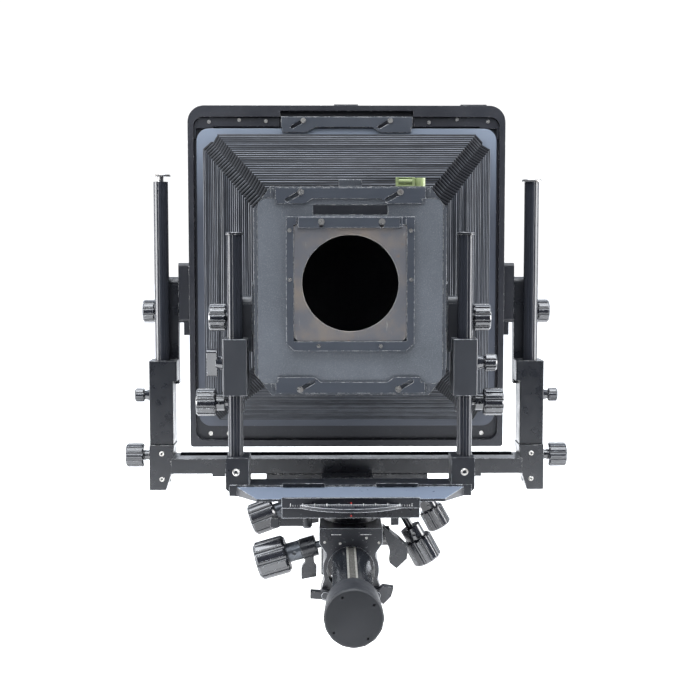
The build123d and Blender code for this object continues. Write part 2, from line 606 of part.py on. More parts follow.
def make_board_adapter():
    """Raised frame on the lens board with a seat for the small board."""
    z0 = LENS_Z - 57.6
    z1 = LENS_Z + 56.3
    outline = [(-ADAPTER_X + 6.5, z0), (ADAPTER_X - 6.5, z0), (ADAPTER_X, z0 + 6.5), (ADAPTER_X, z1),
               (-ADAPTER_X, z1), (-ADAPTER_X, z0 + 6.5)]
    body = slab_xz(outline, ADAPTER_Y, FRONT_Y + 0.1)
    body -= plate_xz(SMALL_X + 0.1, LENS_Z - SMALL_Z - 0.1, LENS_Z + SMALL_Z + 0.1, ADAPTER_Y - 1, FRONT_Y - 1.2, 1)
    body -= plate_xz(45.0, LENS_Z - 45.5, LENS_Z + 45.5, ADAPTER_Y - 1, FRONT_Y + 1, 3)
    body -= block(-45.6, 47.2, ADAPTER_Y - 1, ADAPTER_Y + 0.9, LENS_Z + 46, z1 + 1)
    return body


def make_adapter_lock_bar():
    y0 = ADAPTER_Y - 0.9
    y1 = ADAPTER_Y + 0.8
    bar = block(-44.2, 41.8, y0, y1, LENS_Z + 46.7, LENS_Z + 56.2)
    bar = chamfer(bar.edges().filter_by(Axis.X).group_by(Axis.Y)[0], 0.5)
    for x in (-24.6, 26.7):
        bar -= sloped_slot(x, LENS_Z + 52.0, radians(-90), 3.4, 1.75, y0 - 1, y1 + 1)
    tab = rod((43.4, y0 + 0.8, LENS_Z + 47.5), (0, 0, 1), 0.8, 8)
    return bar + tab + block(41, 43.6, y0 + 0.2, y1 - 0.2, LENS_Z + 48, LENS_Z + 50)


def make_small_board():
    y0 = FRONT_Y - 1.2 - 2.2
    outline = [(-SMALL_X + 4, LENS_Z - SMALL_Z), (SMALL_X - 4, LENS_Z - SMALL_Z), (SMALL_X, LENS_Z - SMALL_Z + 4),
               (SMALL_X, LENS_Z + SMALL_Z - 2), (SMALL_X - 2, LENS_Z + SMALL_Z), (-SMALL_X + 2, LENS_Z + SMALL_Z),
               (-SMALL_X, LENS_Z + SMALL_Z - 2), (-SMALL_X, LENS_Z - SMALL_Z + 4)]
    body = slab_xz(outline, y0, FRONT_Y - 1.25)
    return body - rod((0, y0 - 1, LENS_Z), (0, 1, 0), LENS_HOLE_R, 8)


def make_front_screws():
    """Slider pins, adapter rivets and screw heads, all in the front frame's body."""
    pins = [make_headed_pin(x, z, FRONT_Y - 2.9, FRONT_Y - 0.02) for x, z in TOP_PINS + BOTTOM_PINS]
    rivet_y = ADAPTER_Y - 1.9
    pins += [make_headed_pin(x, LENS_Z + 52.0, rivet_y, ADAPTER_Y + 0.88) for x in (-24.6, 26.7)]
    spots = [(-51.5, 44.7), (51.3, 44.5), (-51.5, 3.0), (51.5, 3.0), (-26.9, -53.3), (25.8, -53.5)]
    for x, dz in spots:
        pins.append(rod((x, ADAPTER_Y - 0.7, LENS_Z + dz), (0, 1, 0), 1.7, 0.68))
    return pins


def make_spirit_levels():
    """Tubular level in a holder and a round level beside it, on the frame's top."""
    base = FRAME_Z1 + 0.1
    holder = block(38.7, 54.8, FRONT_Y + 3, FRONT_Y + 11, base, base + 7.6)
    holder -= rod((41, FRONT_Y + 3.2, base + 4.2), (1, 0, 0), 2.9, 11.6)
    vial = rod((41.05, FRONT_Y + 5, base + 4.2), (1, 0, 0), 2.4, 11.5)
    round_level = rod((59.6, FRONT_Y + 7, base), (0, 0, 1), 4.4, 7.2)
    return [holder, vial, round_level]


# ---------------------------------------------------------------- bellows
RING_Y = FRONT_Y + FRAME_D
PLATE_Z0 = LENS_Z - 157.0
PLATE_Z1 = LENS_Z + 152.0
OPEN_X = 146.0
OPEN_Z0 = LENS_Z - 149.0
OPEN_Z1 = LENS_Z + 144.0


def chamfered_rectangle(x, z0, z1, cut):
    return [(-x + cut, z0), (x - cut, z0), (x, z0 + cut), (x, z1 - cut),
            (x - cut, z1), (-x + cut, z1), (-x, z1 - cut), (-x, z0 + cut)]


def bellows_loft(grow, y_near, y_far):
    """Tapered tube between the front ring and the rear plate, seen as one smooth skin."""
    z = LENS_Z + BOARD_DZ
    near = chamfered_rectangle(68 + grow, z - 68 - grow, z + 68 + grow, 9)
    far = chamfered_rectangle(OPEN_X - 1 + grow, OPEN_Z0 + 1 - grow, OPEN_Z1 - 1 + grow, 13)
    faces = []
    for outline, y in ((near, y_near), (far, y_far)):
        plane = Plane(origin=(0, y, 0), x_dir=(1, 0, 0), z_dir=(0, -1, 0))
        faces.append(plane * make_face(Polyline(*outline, close=True)))
    return loft(faces, ruled=True)


def make_bellows():
    y_near = RING_Y + 3.4
    y_far = REAR_Y + 0.9
    return bellows_loft(0, y_near, y_far) - bellows_loft(-5, y_near - 0.01, y_far + 0.01)


def make_bellows_front_ring():
    z = LENS_Z + BOARD_DZ
    return ring_xz((70, z - 70, z + 70, 5), (60, z - 60, z + 60, 4), RING_Y + 0.1, RING_Y + 3.2)


def make_bellows_rear_plate():
    outer = (155, PLATE_Z0, PLATE_Z1, 13)
    inner = (OPEN_X - 6, OPEN_Z0 + 6, OPEN_Z1 - 6, 10)
    return ring_xz(outer, inner, REAR_Y + 1.2, REAR_Y + 5.8)


# ---------------------------------------------------------------- rear base
REAR_CLAMP = (REAR_Y - 44, REAR_Y + 31)
REAR_STEP_Y = REAR_Y - 14
REAR_CLAMP_TOP = 35.0
REAR_CLAMP_LOW = 25.0
REAR_SWING_BOTTOM = RAIL_Z + REAR_CLAMP_LOW + 0.4
REAR_SWING_TOP = LENS_Z - 207.1
REAR_FOCUS = focus_frame(REAR_Y - 27, 20.3)
REAR_PIN = (REAR_SWING_Y, 11.0, 5.2)
REAR_SHIFT_OUT = (98.7, REAR_Y + 1, LENS_Z - 264)
REAR_SHIFT_REACH = 61.5
CROSSBAR_TOP = LENS_Z - 191.0
CROSSBAR_BOTTOM = LENS_Z - 206.6
REAR_BASE_TOP = LENS_Z - 177.2
REAR_BASE_BOTTOM = LENS_Z - 224.5
REAR_SOCKET_FLOOR = LENS_Z - 218.0
REAR_KNOB_Z = LENS_Z - 190.0


def make_rear_swing_plate():
    rib = (REAR_SWING_Y, 8.0, 3.4)
    body = make_swing_plate(84.5, REAR_Y - 7, REAR_Y + 40, REAR_SWING_BOTTOM, REAR_SWING_TOP,
                            REAR_PIN, rib, 5.5)
    body += block(64, 84.5, REAR_Y - 8, REAR_Y + 10, REAR_SWING_BOTTOM - 4, REAR_SWING_BOTTOM + 1)
    return body - shift_shaft_hole(REAR_SHIFT_OUT, REAR_SHIFT_REACH)


def make_rear_yoke():
    """Wide crossbar with a base block for each column."""
    y0 = REAR_Y - 6
    y1 = REAR_Y + 38
    body = block(-184, 184, y0, y1, CROSSBAR_BOTTOM, CROSSBAR_TOP)
    body -= block(-178, 178, y0 + 24, y1 - 4, CROSSBAR_BOTTOM + 6, CROSSBAR_TOP + 1)
    body += block(-178, 178, y1 - 4, y1, CROSSBAR_TOP - 1, LENS_Z - 190.2)
    for side in SIDES:
        outline = [(side * 181, REAR_BASE_TOP), (side * 207.1, REAR_BASE_TOP), (side * 207.1, REAR_BASE_BOTTOM),
                   (side * 190, REAR_BASE_BOTTOM), (side * 184, LENS_Z - 206)]
        body += slab_xz(outline, REAR_Y - 2, REAR_Y + 34)
        body += block(side * 127.6, side * 141, y0, y0 + 8, CROSSBAR_BOTTOM - 3, CROSSBAR_BOTTOM + 1)
        body -= rod((side * REAR_COLUMN_X, REAR_COLUMN_Y, REAR_SOCKET_FLOOR), (0, 0, 1), REAR_COLUMN_R + RUN_FIT, 60)
        body -= rod((side * 202, REAR_COLUMN_Y, REAR_KNOB_Z), (side, 0, 0), 3.0 + RUN_FIT, 10)
        for screw_z in (LENS_Z - 186, LENS_Z - 213):
            body -= rod((side * 194, REAR_Y - 3, screw_z), (0, 1, 0), 2.6, 2.2)
    rib_y = REAR_SWING_Y
    body -= block(-200, 200, rib_y - 8 - GAP, rib_y + 8 + GAP, CROSSBAR_BOTTOM - 10, CROSSBAR_BOTTOM + 3.8) & block(
        -184, 184, y0, y1, CROSSBAR_BOTTOM - 10, CROSSBAR_TOP)
    return body


REAR_COLUMN_TOP = LENS_Z + 98.0
SPINDLE_R = 3.0


def make_rear_columns():
    """Fluted tubes with a spindle bore."""
    length = REAR_COLUMN_TOP - REAR_SOCKET_FLOOR - 0.1
    column = fluted_column(REAR_COLUMN_R, length) - Pos(0, 0, length / 2) * Cylinder(SPINDLE_R + RUN_FIT, length + 2)
    return [Pos(side * REAR_COLUMN_X, REAR_COLUMN_Y, REAR_SOCKET_FLOOR + 0.1) * column for side in SIDES]


def make_rear_spindle(side, disc_z):
    """Rise spindle inside a column, with a thin disc at its top."""
    start = REAR_SOCKET_FLOOR + 0.4
    rod_part = rod((side * REAR_COLUMN_X, REAR_COLUMN_Y, start), (0, 0, 1), SPINDLE_R, disc_z - start + 1)
    disc = rod((side * REAR_COLUMN_X, REAR_COLUMN_Y, disc_z), (0, 0, 1), 10.3, 2.3)
    disc = chamfer(disc.edges().filter_by(GeomType.CIRCLE).sort_by(Axis.Z)[-1], 0.7)
    return rod_part + disc


def make_rear_rise_knob(side):
    out = (side, 0, 0)
    shaft = rod((side * 202.3, REAR_COLUMN_Y, REAR_KNOB_Z), out, 3.0, 8)
    neck = rod((side * 207.6, REAR_COLUMN_Y, REAR_KNOB_Z), out, 5.2, 8)
    return shaft + neck + fluted_knob((side * 214.4, REAR_COLUMN_Y, REAR_KNOB_Z), out, 12.7, 19, 12, 1.7, 1.6)


# ---------------------------------------------------------------- rear carriages
REAR_CARRIAGE_TOP = LENS_Z - 88.8
REAR_CARRIAGE_BOTTOM = REAR_BASE_TOP + 0.5
REAR_LOCK_Z = LENS_Z - 125.9


def make_rear_carriage(side):
    """Long bored block with an upper bracket that carries the tilt axis."""
    back = REAR_Y + 38
    step_z = LENS_Z - 110
    body = block(side * 182, side * 206.9, REAR_Y + 1, REAR_Y + 34, REAR_CARRIAGE_BOTTOM, REAR_CARRIAGE_TOP)
    body += block(side * 178, side * 184, REAR_Y + 1, REAR_Y + 34, step_z, REAR_CARRIAGE_TOP)
    body = fillet(body.edges().filter_by(Axis.Z).sort_by(Axis.Y)[0:3], 1.2)
    arm = block(side * 177.9, side * 191.8, REAR_Y + 24.4, back, LENS_Z - 115, REAR_TILT_Z + 29.5)
    arm += rod((side * 177.9, REAR_TILT_Y, REAR_TILT_Z + 29.5), (side, 0, 0), 6.8, 13.9)
    body += arm
    bore = rod((side * REAR_COLUMN_X, REAR_COLUMN_Y, REAR_CARRIAGE_BOTTOM - 1), (0, 0, 1), REAR_COLUMN_R + RUN_FIT, 200)
    body -= bore
    body -= rod((side * 170, REAR_TILT_Y, REAR_TILT_Z), (side, 0, 0), 4.0 + RUN_FIT, 40)
    body -= rod((side * 200, REAR_COLUMN_Y, REAR_LOCK_Z), (side, 0, 0), 2.5 + RUN_FIT, 20)
    return body


# ---------------------------------------------------------------- rear frame, slider and back
CASE_X = REAR_FRAME_W / 2
CASE_Z0 = LENS_Z + REAR_FRAME_BOTTOM
CASE_Z1 = LENS_Z + REAR_FRAME_TOP
POCKET_D = 6.0
WEB_T = 5.0


def make_rear_frame():
    """Deep casing, open at the back, with a shallow front pocket around the light opening."""
    case = plate_xz(CASE_X, CASE_Z0, CASE_Z1, REAR_Y, REAR_Y + REAR_FRAME_D, 3)
    top = plate_xz(CASE_X, CASE_Z0 - 40, CASE_Z1, REAR_Y, REAR_Y + REAR_FRAME_D, 17)
    case = case & top
    case -= plate_xz(158, LENS_Z - 172, LENS_Z + 163.8, REAR_Y - 1, REAR_Y + POCKET_D, 10)
    case -= plate_xz(68.6, LENS_Z + 150, LENS_Z + 170, REAR_Y - 1, REAR_Y + POCKET_D, 1)
    case -= plate_xz(OPEN_X, OPEN_Z0, OPEN_Z1, REAR_Y, REAR_Y + REAR_FRAME_D + 1, 8)
    hollow = plate_xz(CASE_X - 4, CASE_Z0 + 4, CASE_Z1 - 4, REAR_Y + POCKET_D + WEB_T, REAR_Y + REAR_FRAME_D + 1, 10)
    case -= hollow
    for side in SIDES:
        ear = block(side * (CASE_X - 3), side * 177.4, REAR_Y + 21, REAR_Y + 40, REAR_TILT_Z - 12, REAR_TILT_Z + 51)
        ear = fillet(ear.edges().filter_by(Axis.X), 4)
        foot = block(side * (CASE_X - 3), side * 172, REAR_Y + 21, REAR_Y + 38, REAR_TILT_Z - 25, REAR_TILT_Z - 11)
        case += ear + foot
        case -= rod((side * (CASE_X - 6), REAR_TILT_Y, REAR_TILT_Z), (side, 0, 0), 4.0 + RUN_FIT, 30)
    for x0, x1 in ((-13.1, 11.6), (117.8, 144.7)):
        case += block(x0, x1, REAR_Y + 3, REAR_Y + 30, CASE_Z1 - 1, CASE_Z1 + 1.4)
    return case


def make_corner_plate(side):
    """Thin plate in the pocket's upper corner, with a curved tip down the side."""
    y0 = REAR_Y + 2.4
    y1 = REAR_Y + POCKET_D - 0.1
    bar = block(side * 69.6, side * 150, y0, y1, LENS_Z + 154.2, LENS_Z + 163.4)
    corner = rod((side * 147.8, y0, LENS_Z + 153.6), (0, 1, 0), 9.8, y1 - y0)
    tip = block(side * 155.6, side * 157.6, y0, y1, LENS_Z + 142, LENS_Z + 153.6)
    plate = PLATE_Z1 + 0.5
    keep = block(side * 69, side * 158, y0, y1, plate, LENS_Z + 164) + block(side * 155.5, side * 158, y0, y1, LENS_Z + 141, plate)
    return (bar + corner + tip) & keep


def make_rear_slider():
    y0 = REAR_Y - 1.7
    y1 = REAR_Y - 0.2
    outline = slider_outline(67.6, LENS_Z + 153.2, LENS_Z + 163.8,
                             ((-66.6, -42.0, -32.0), (26.4, 34.0, 66.2)), LENS_Z + 147.8)
    return make_slider(outline, REAR_PINS, SLIDER_ANGLE + pi, y0, y1)


def make_rear_screws():
    """Slider pins, corner plate screws and base block screws of the rear frame's body."""
    screws = [make_headed_pin(x, z, REAR_Y - 2.7, REAR_Y + POCKET_D - 0.02) for x, z in REAR_PINS]
    for x, dz in ((-142, 158.8), (-111, 160.8), (-83.4, 159.6), (85, 158.4), (114, 161.4), (146, 159.4)):
        screws.append(rod((x, REAR_Y + 1.7, LENS_Z + dz), (0, 1, 0), 1.9, 0.68))
    for x in (-143, -124, 142):
        screws.append(rod((x, REAR_Y + POCKET_D - 1.0, LENS_Z - 165.5), (0, 1, 0), 2.3, 0.98))
    return screws


BACK_Y = REAR_Y + REAR_FRAME_D + 0.4
BACK_T = 14.0
BACK_FLANGE_T = 6.0
BACK_RING_X = 147.0
BACK_HALF_X = 152.0
BACK_Z0 = LENS_Z - 151.0
BACK_Z1 = LENS_Z + 147.0
GLASS_X = 127.0
GLASS_Z = 101.5
GLASS_T = 2.5


def make_back_frame():
    """Spring back: a flange with a raised ring that holds the ground glass in a rebate."""
    window = (GLASS_X - 4, LENS_Z - GLASS_Z + 4, LENS_Z + GLASS_Z - 4, 3)
    body = ring_xz((BACK_HALF_X, BACK_Z0, BACK_Z1, 10), window, BACK_Y, BACK_Y + BACK_FLANGE_T)
    body += ring_xz((BACK_RING_X, BACK_Z0 + 22, BACK_Z1 - 22, 6), window, BACK_Y, BACK_Y + BACK_T)
    rebate = plate_xz(GLASS_X + 0.1, LENS_Z - GLASS_Z - 0.1, LENS_Z + GLASS_Z + 0.1,
                      BACK_Y + BACK_T - GLASS_T - 1.5, BACK_Y + BACK_T + 1)
    return body - rebate


def make_ground_glass():
    y0 = BACK_Y + BACK_T - GLASS_T - 1.4
    return plate_xz(GLASS_X, LENS_Z - GLASS_Z, LENS_Z + GLASS_Z, y0, y0 + GLASS_T)


def make_back_spring(side):
    """Bowed leaf spring that presses the back forward, held by its feet on the casing."""
    y0 = BACK_Y + BACK_T + 0.4
    rise = 6.0
    half = 110.0
    outline = [(y0, -half), (y0 + 1, -half), (y0 + 1 + rise, 0), (y0 + 1, half), (y0, half), (y0 + rise, 0)]
    face = make_face(Polyline(*outline, close=True))
    plane = Plane(origin=(side * 139 - 5, 0, LENS_Z - 2), x_dir=(0, 1, 0), z_dir=(1, 0, 0))
    return extrude(plane * face, amount=10)


# ---------------------------------------------------------------- write every piece
def write_rail():
    save("tripod_block", make_tripod_block())
    save("tripod_lock_knob", make_tripod_lock_knob())
    save("rail_tube", make_rail_tube())
    save("rail_rack", make_rail_rack())
    front_face = RAIL_START - CAP_FACE_T
    rear_face = RAIL_START + RAIL_LENGTH + CAP_FACE_T
    save_group("rail_caps", [make_rail_cap(front_face, 1), make_rail_cap(rear_face, -1)])


def write_front_base():
    y0, y1 = FRONT_CLAMP
    save("front_clamp_block", make_clamp(y0, y1, FRONT_CLAMP_TOP, FRONT_CLAMP_TOP, FRONT_Y, FRONT_FOCUS,
                                         FRONT_PIN, FRONT_LOCK))
    save("front_focus_shaft", make_focus_shaft(FRONT_FOCUS, 43.8))
    save("front_focus_knob", make_focus_knob(FRONT_FOCUS, 56.0))
    save("front_focus_lock_lever", make_wing_lever(FRONT_FOCUS, 30.6))
    save("front_swing_lock_lever", make_swing_lock(FRONT_LOCK, CLAMP_X + 0.4))
    save("front_rail_latch_left", make_latch(-1, y0))
    save("front_rail_latch_right", make_latch(1, y0))
    save("front_swing_plate", make_front_swing_plate())
    save("front_shift_lock_lever", make_front_shift_lock())
    save("front_shift_knob", make_shift_knob(FRONT_SHIFT_OUT, FRONT_SHIFT_REACH))
    save("front_yoke", make_front_yoke())
    save_group("front_columns", make_front_columns())
    save_group("front_column_caps", make_front_column_caps())


def write_front_carriages():
    save_group("front_carriages", [make_front_carriage(side) for side in SIDES])
    save_group("front_rise_knobs", [make_rise_knob(side, 109.3, FRONT_RISE_Y, FRONT_RISE_Z, 94.5) for side in SIDES])
    save("front_rise_lock_left", make_rise_lock_wing(-1))
    save("front_rise_lock_right", make_rise_lock_knob(1, 109.4, FRONT_COLUMN_Y, RISE_LOCK_Z, 6.6, 7.5, 7, 10.5, 105.9))
    for side, name in zip(SIDES, ("left", "right")):
        knob = make_tilt_knob(side, 80.6, 107.3, FRONT_TILT_Y, FRONT_TILT_Z, 11.7, 15)
        save(f"front_tilt_knob_{name}", knob)


def write_front_frame():
    save("front_frame", make_front_frame())
    top, bottom = make_front_sliders()
    save("front_slider_top", top)
    save("front_slider_bottom", bottom)
    save("lens_board", make_lens_board())
    save("board_adapter", make_board_adapter())
    save("adapter_lock_bar", make_adapter_lock_bar())
    save("small_lens_board", make_small_board())
    save_group("front_screws", make_front_screws())
    save_group("spirit_levels", make_spirit_levels())


def write_bellows():
    save("bellows", make_bellows())
    save("bellows_front_ring", make_bellows_front_ring())
    save("bellows_rear_plate", make_bellows_rear_plate())


def write_rear_base():
    y0, y1 = REAR_CLAMP
    save("rear_clamp_block", make_clamp(y0, y1, REAR_CLAMP_TOP, REAR_CLAMP_LOW, REAR_STEP_Y, REAR_FOCUS,
                                        REAR_PIN, None))
    save("rear_focus_shaft", make_focus_shaft(REAR_FOCUS, 66.0))
    save("rear_focus_knob", make_focus_knob(REAR_FOCUS, 78.2))
    save("rear_focus_lock_lever", make_wing_lever(REAR_FOCUS, 31.6))
    save("rear_swing_plate", make_rear_swing_plate())
    save("rear_shift_knob", make_shift_knob(REAR_SHIFT_OUT, REAR_SHIFT_REACH))
    save("rear_yoke", make_rear_yoke())
    save_group("rear_columns", make_rear_columns())
    save("rear_spindle_left", make_rear_spindle(-1, LENS_Z + 103.2))
    save("rear_spindle_right", make_rear_spindle(1, REAR_COLUMN_TOP + 0.4))
    save_group("rear_rise_knobs", [make_rear_rise_knob(side) for side in SIDES])


def write_rear_carriages():
    save_group("rear_carriages", [make_rear_carriage(side) for side in SIDES])
    for side, name in zip(SIDES, ("left", "right")):
        lock = make_rise_lock_knob(side, 207.4, REAR_COLUMN_Y, REAR_LOCK_Z, 6.0, 7.2, 6.5, 10, 202.4)
        save(f"rear_rise_lock_{name}", lock)
        knob = make_tilt_knob(side, 162.4, 203.0, REAR_TILT_Y, REAR_TILT_Z, 12.2, 12.6)
        save(f"rear_tilt_knob_{name}", knob)


def write_rear_frame():
    save("rear_frame", make_rear_frame())
    save_group("rear_corner_plates", [make_corner_plate(side) for side in SIDES])
    save("rear_slider_top", make_rear_slider())
    save_group("rear_screws", make_rear_screws())
    save("back_frame", make_back_frame())
    save("ground_glass", make_ground_glass())
    save_group("back_springs", [make_back_spring(side) for side in SIDES])


write_rail()
write_front_base()
write_front_carriages()
write_front_frame()
write_bellows()
write_rear_base()
write_rear_carriages()
write_rear_frame()
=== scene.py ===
import json
import math
import random

import bmesh
import bpy
from mathutils import Matrix, Vector


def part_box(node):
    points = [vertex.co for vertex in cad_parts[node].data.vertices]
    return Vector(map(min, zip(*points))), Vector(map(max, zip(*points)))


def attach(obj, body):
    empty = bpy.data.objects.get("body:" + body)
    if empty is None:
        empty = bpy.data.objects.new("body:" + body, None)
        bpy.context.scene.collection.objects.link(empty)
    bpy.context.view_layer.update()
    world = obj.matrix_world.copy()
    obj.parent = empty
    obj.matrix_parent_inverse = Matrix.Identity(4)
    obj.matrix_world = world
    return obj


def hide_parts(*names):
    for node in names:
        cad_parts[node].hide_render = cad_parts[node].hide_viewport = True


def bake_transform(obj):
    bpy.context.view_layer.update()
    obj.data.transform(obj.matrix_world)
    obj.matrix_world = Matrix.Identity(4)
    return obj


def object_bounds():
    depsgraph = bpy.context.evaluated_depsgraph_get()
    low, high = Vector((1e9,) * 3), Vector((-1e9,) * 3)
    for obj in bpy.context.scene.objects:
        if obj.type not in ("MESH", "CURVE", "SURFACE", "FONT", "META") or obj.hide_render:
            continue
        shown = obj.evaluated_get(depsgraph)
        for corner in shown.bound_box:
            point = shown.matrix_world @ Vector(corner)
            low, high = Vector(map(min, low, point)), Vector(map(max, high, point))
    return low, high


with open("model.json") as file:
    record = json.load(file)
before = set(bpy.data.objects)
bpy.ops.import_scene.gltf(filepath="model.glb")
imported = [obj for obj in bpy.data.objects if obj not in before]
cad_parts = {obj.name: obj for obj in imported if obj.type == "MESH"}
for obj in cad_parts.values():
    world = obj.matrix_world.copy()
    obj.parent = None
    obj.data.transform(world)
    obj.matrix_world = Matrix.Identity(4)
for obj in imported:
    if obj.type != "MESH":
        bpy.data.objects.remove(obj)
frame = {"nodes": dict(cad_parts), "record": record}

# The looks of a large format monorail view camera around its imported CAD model: materials on
# every CAD node, screws, scales, a light baffle and pleated bellows, then floor, light and camera.
# Metres, the CAD model's frame: the lens side faces -Y, +Z is up.

CAD_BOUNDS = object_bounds()
MM = 0.001


# ---------------------------------------------------------------- places read from the CAD model
def low(node):
    return Vector(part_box(node)[0])


def high(node):
    return Vector(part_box(node)[1])


MOUNTS = {m["name"]: m for m in frame["record"]["mounts"]}
LENS = Vector(MOUNTS["lens_opening"]["pos_m"])
LENS_Z = LENS.z
BOARD_Y = low("lens_board").y
REAR_Y = low("rear_frame").y
RACK_TIP = high("rail_rack").z - 0.5 * MM


# ---------------------------------------------------------------- mesh helpers
def add_object(name, mesh, body, material, smooth=True):
    obj = bpy.data.objects.new(name, mesh)
    bpy.context.scene.collection.objects.link(obj)
    mesh.materials.append(material)
    for polygon in mesh.polygons:
        polygon.use_smooth = smooth
    if body:
        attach(obj, body)
    return obj


def mesh_from(name, verts, faces):
    mesh = bpy.data.meshes.new(name)
    mesh.from_pydata([tuple(v) for v in verts], [], faces)
    mesh.update()
    return mesh


def bm_mesh(name, bm):
    mesh = bpy.data.meshes.new(name)
    bm.to_mesh(mesh)
    bm.free()
    mesh.update()
    return mesh


def bevelled_box(bm, size, place, width):
    """Box with rounded edges, added to bm."""
    made = bmesh.ops.create_cube(bm, size=1.0, matrix=place @ Matrix.Diagonal((*size, 1.0)))
    edges = {e for v in made["verts"] for e in v.link_edges}
    bmesh.ops.bevel(bm, geom=list(edges), offset=width, segments=2, affect="EDGES", profile=0.6)


ON_AXIS = 1e-7             # a smaller radius is a point on the axis


def lathe(bm, profile, place, steps):
    """Closed turned piece: profile is (radius, height) from axis to axis along +Z of place."""
    rings = []
    for radius, height in profile:
        if radius < ON_AXIS:
            rings.append([bm.verts.new(place @ Vector((0, 0, height)))])
            continue
        ring = []
        for k in range(steps):
            turn = 2 * math.pi * k / steps
            point = Vector((radius * math.cos(turn), radius * math.sin(turn), height))
            ring.append(bm.verts.new(place @ point))
        rings.append(ring)
    for a, b in zip(rings, rings[1:]):
        for k in range(steps):
            n = (k + 1) % steps
            if len(a) == 1:
                bm.faces.new((a[0], b[k], b[n]))
            elif len(b) == 1:
                bm.faces.new((a[n], a[k], b[0]))
            else:
                bm.faces.new((a[k], b[k], b[n], a[n]))


# ---------------------------------------------------------------- material helpers
CLOUDS = (0.35, 0.65)      # part of the noise range that a soft colour change spans
FLAT_DOT = 0.99            # rounded normal times face normal, on a flat face and on a full edge
EDGE_DOT = 0.88


class Tree:
    """Short way to wire a node material."""

    def __init__(self, name):
        self.material = bpy.data.materials.new(name)
        self.material.use_nodes = True
        self.nodes = self.material.node_tree.nodes
        self.links = self.material.node_tree.links
        self.shader = self.nodes["Principled BSDF"]

    def new(self, kind, inputs=(), **settings):
        node = self.nodes.new(kind)
        for key, value in settings.items():
            setattr(node, key, value)
        for key, value in dict(inputs).items():
            self.put(node.inputs[key], value)
        return node

    def put(self, socket, value):
        if isinstance(value, bpy.types.NodeSocket):
            self.links.new(value, socket)
        else:
            socket.default_value = value

    def set(self, key, value):
        self.put(self.shader.inputs[key], value)

    def axes(self, vector):
        """The X, Y and Z sockets of a vector."""
        return self.new("ShaderNodeSeparateXYZ", {0: vector}).outputs

    def position(self):
        return self.new("ShaderNodeTexCoord").outputs["Object"]

    def face_normal(self):
        return self.new("ShaderNodeNewGeometry").outputs["Normal"]

    def vector_math(self, operation, a, b):
        return self.new("ShaderNodeVectorMath", {0: a, 1: b}, operation=operation).outputs

    def noise(self, scale, detail=3.0, roughness=0.55, stretch=None):
        vector = self.position()
        if stretch:
            vector = self.vector_math("MULTIPLY", vector, stretch)[0]
        inputs = {"Vector": vector, "Scale": scale, "Detail": detail, "Roughness": roughness}
        return self.new("ShaderNodeTexNoise", inputs).outputs["Fac"]

    def span(self, value, from_low, from_high, to_low=0.0, to_high=1.0):
        """Value brought from one range to another and held inside it."""
        limits = {"From Min": from_low, "From Max": from_high, "To Min": to_low, "To Max": to_high}
        return self.new("ShaderNodeMapRange", {"Value": value, **limits}).outputs["Result"]

    def math(self, operation, a, b):
        return self.new("ShaderNodeMath", {0: a, 1: b}, operation=operation).outputs[0]

    def blend(self, factor, a, b):
        node = self.new("ShaderNodeMix", data_type="RGBA")
        self.put(node.inputs[0], factor)
        self.put(node.inputs[6], (*a, 1.0) if isinstance(a, tuple) else a)
        self.put(node.inputs[7], (*b, 1.0) if isinstance(b, tuple) else b)
        return node.outputs[2]

    def bump(self, height, strength, distance, normal=None):
        inputs = {"Strength": strength, "Distance": distance, "Height": height}
        node = self.new("ShaderNodeBump", inputs)
        if normal is not None:
            self.links.new(normal, node.inputs["Normal"])
        return node.outputs["Normal"]

    def rounded(self, radius):
        """Normal that runs smoothly over edges within the radius."""
        return self.new("ShaderNodeBevel", {"Radius": radius}, samples=6).outputs[0]

    def edges(self, radius):
        """1 on convex and concave edges within radius, 0 on flat faces."""
        dot = self.vector_math("DOT_PRODUCT", self.rounded(radius), self.face_normal())["Value"]
        return self.span(dot, FLAT_DOT, EDGE_DOT)

    def chips(self, radius, scale, limit):
        """1 on broken patches along the edges, more of them with a lower limit."""
        patches = self.math("MULTIPLY", self.edges(radius), self.noise(scale, 4.0, 0.7))
        return self.math("GREATER_THAN", patches, limit)


# Heights over which painted light from above makes a part's upper end lighter.
PAINTED_TOP_START = LENS_Z + 60 * MM
PAINTED_TOP_END = LENS_Z + 150 * MM


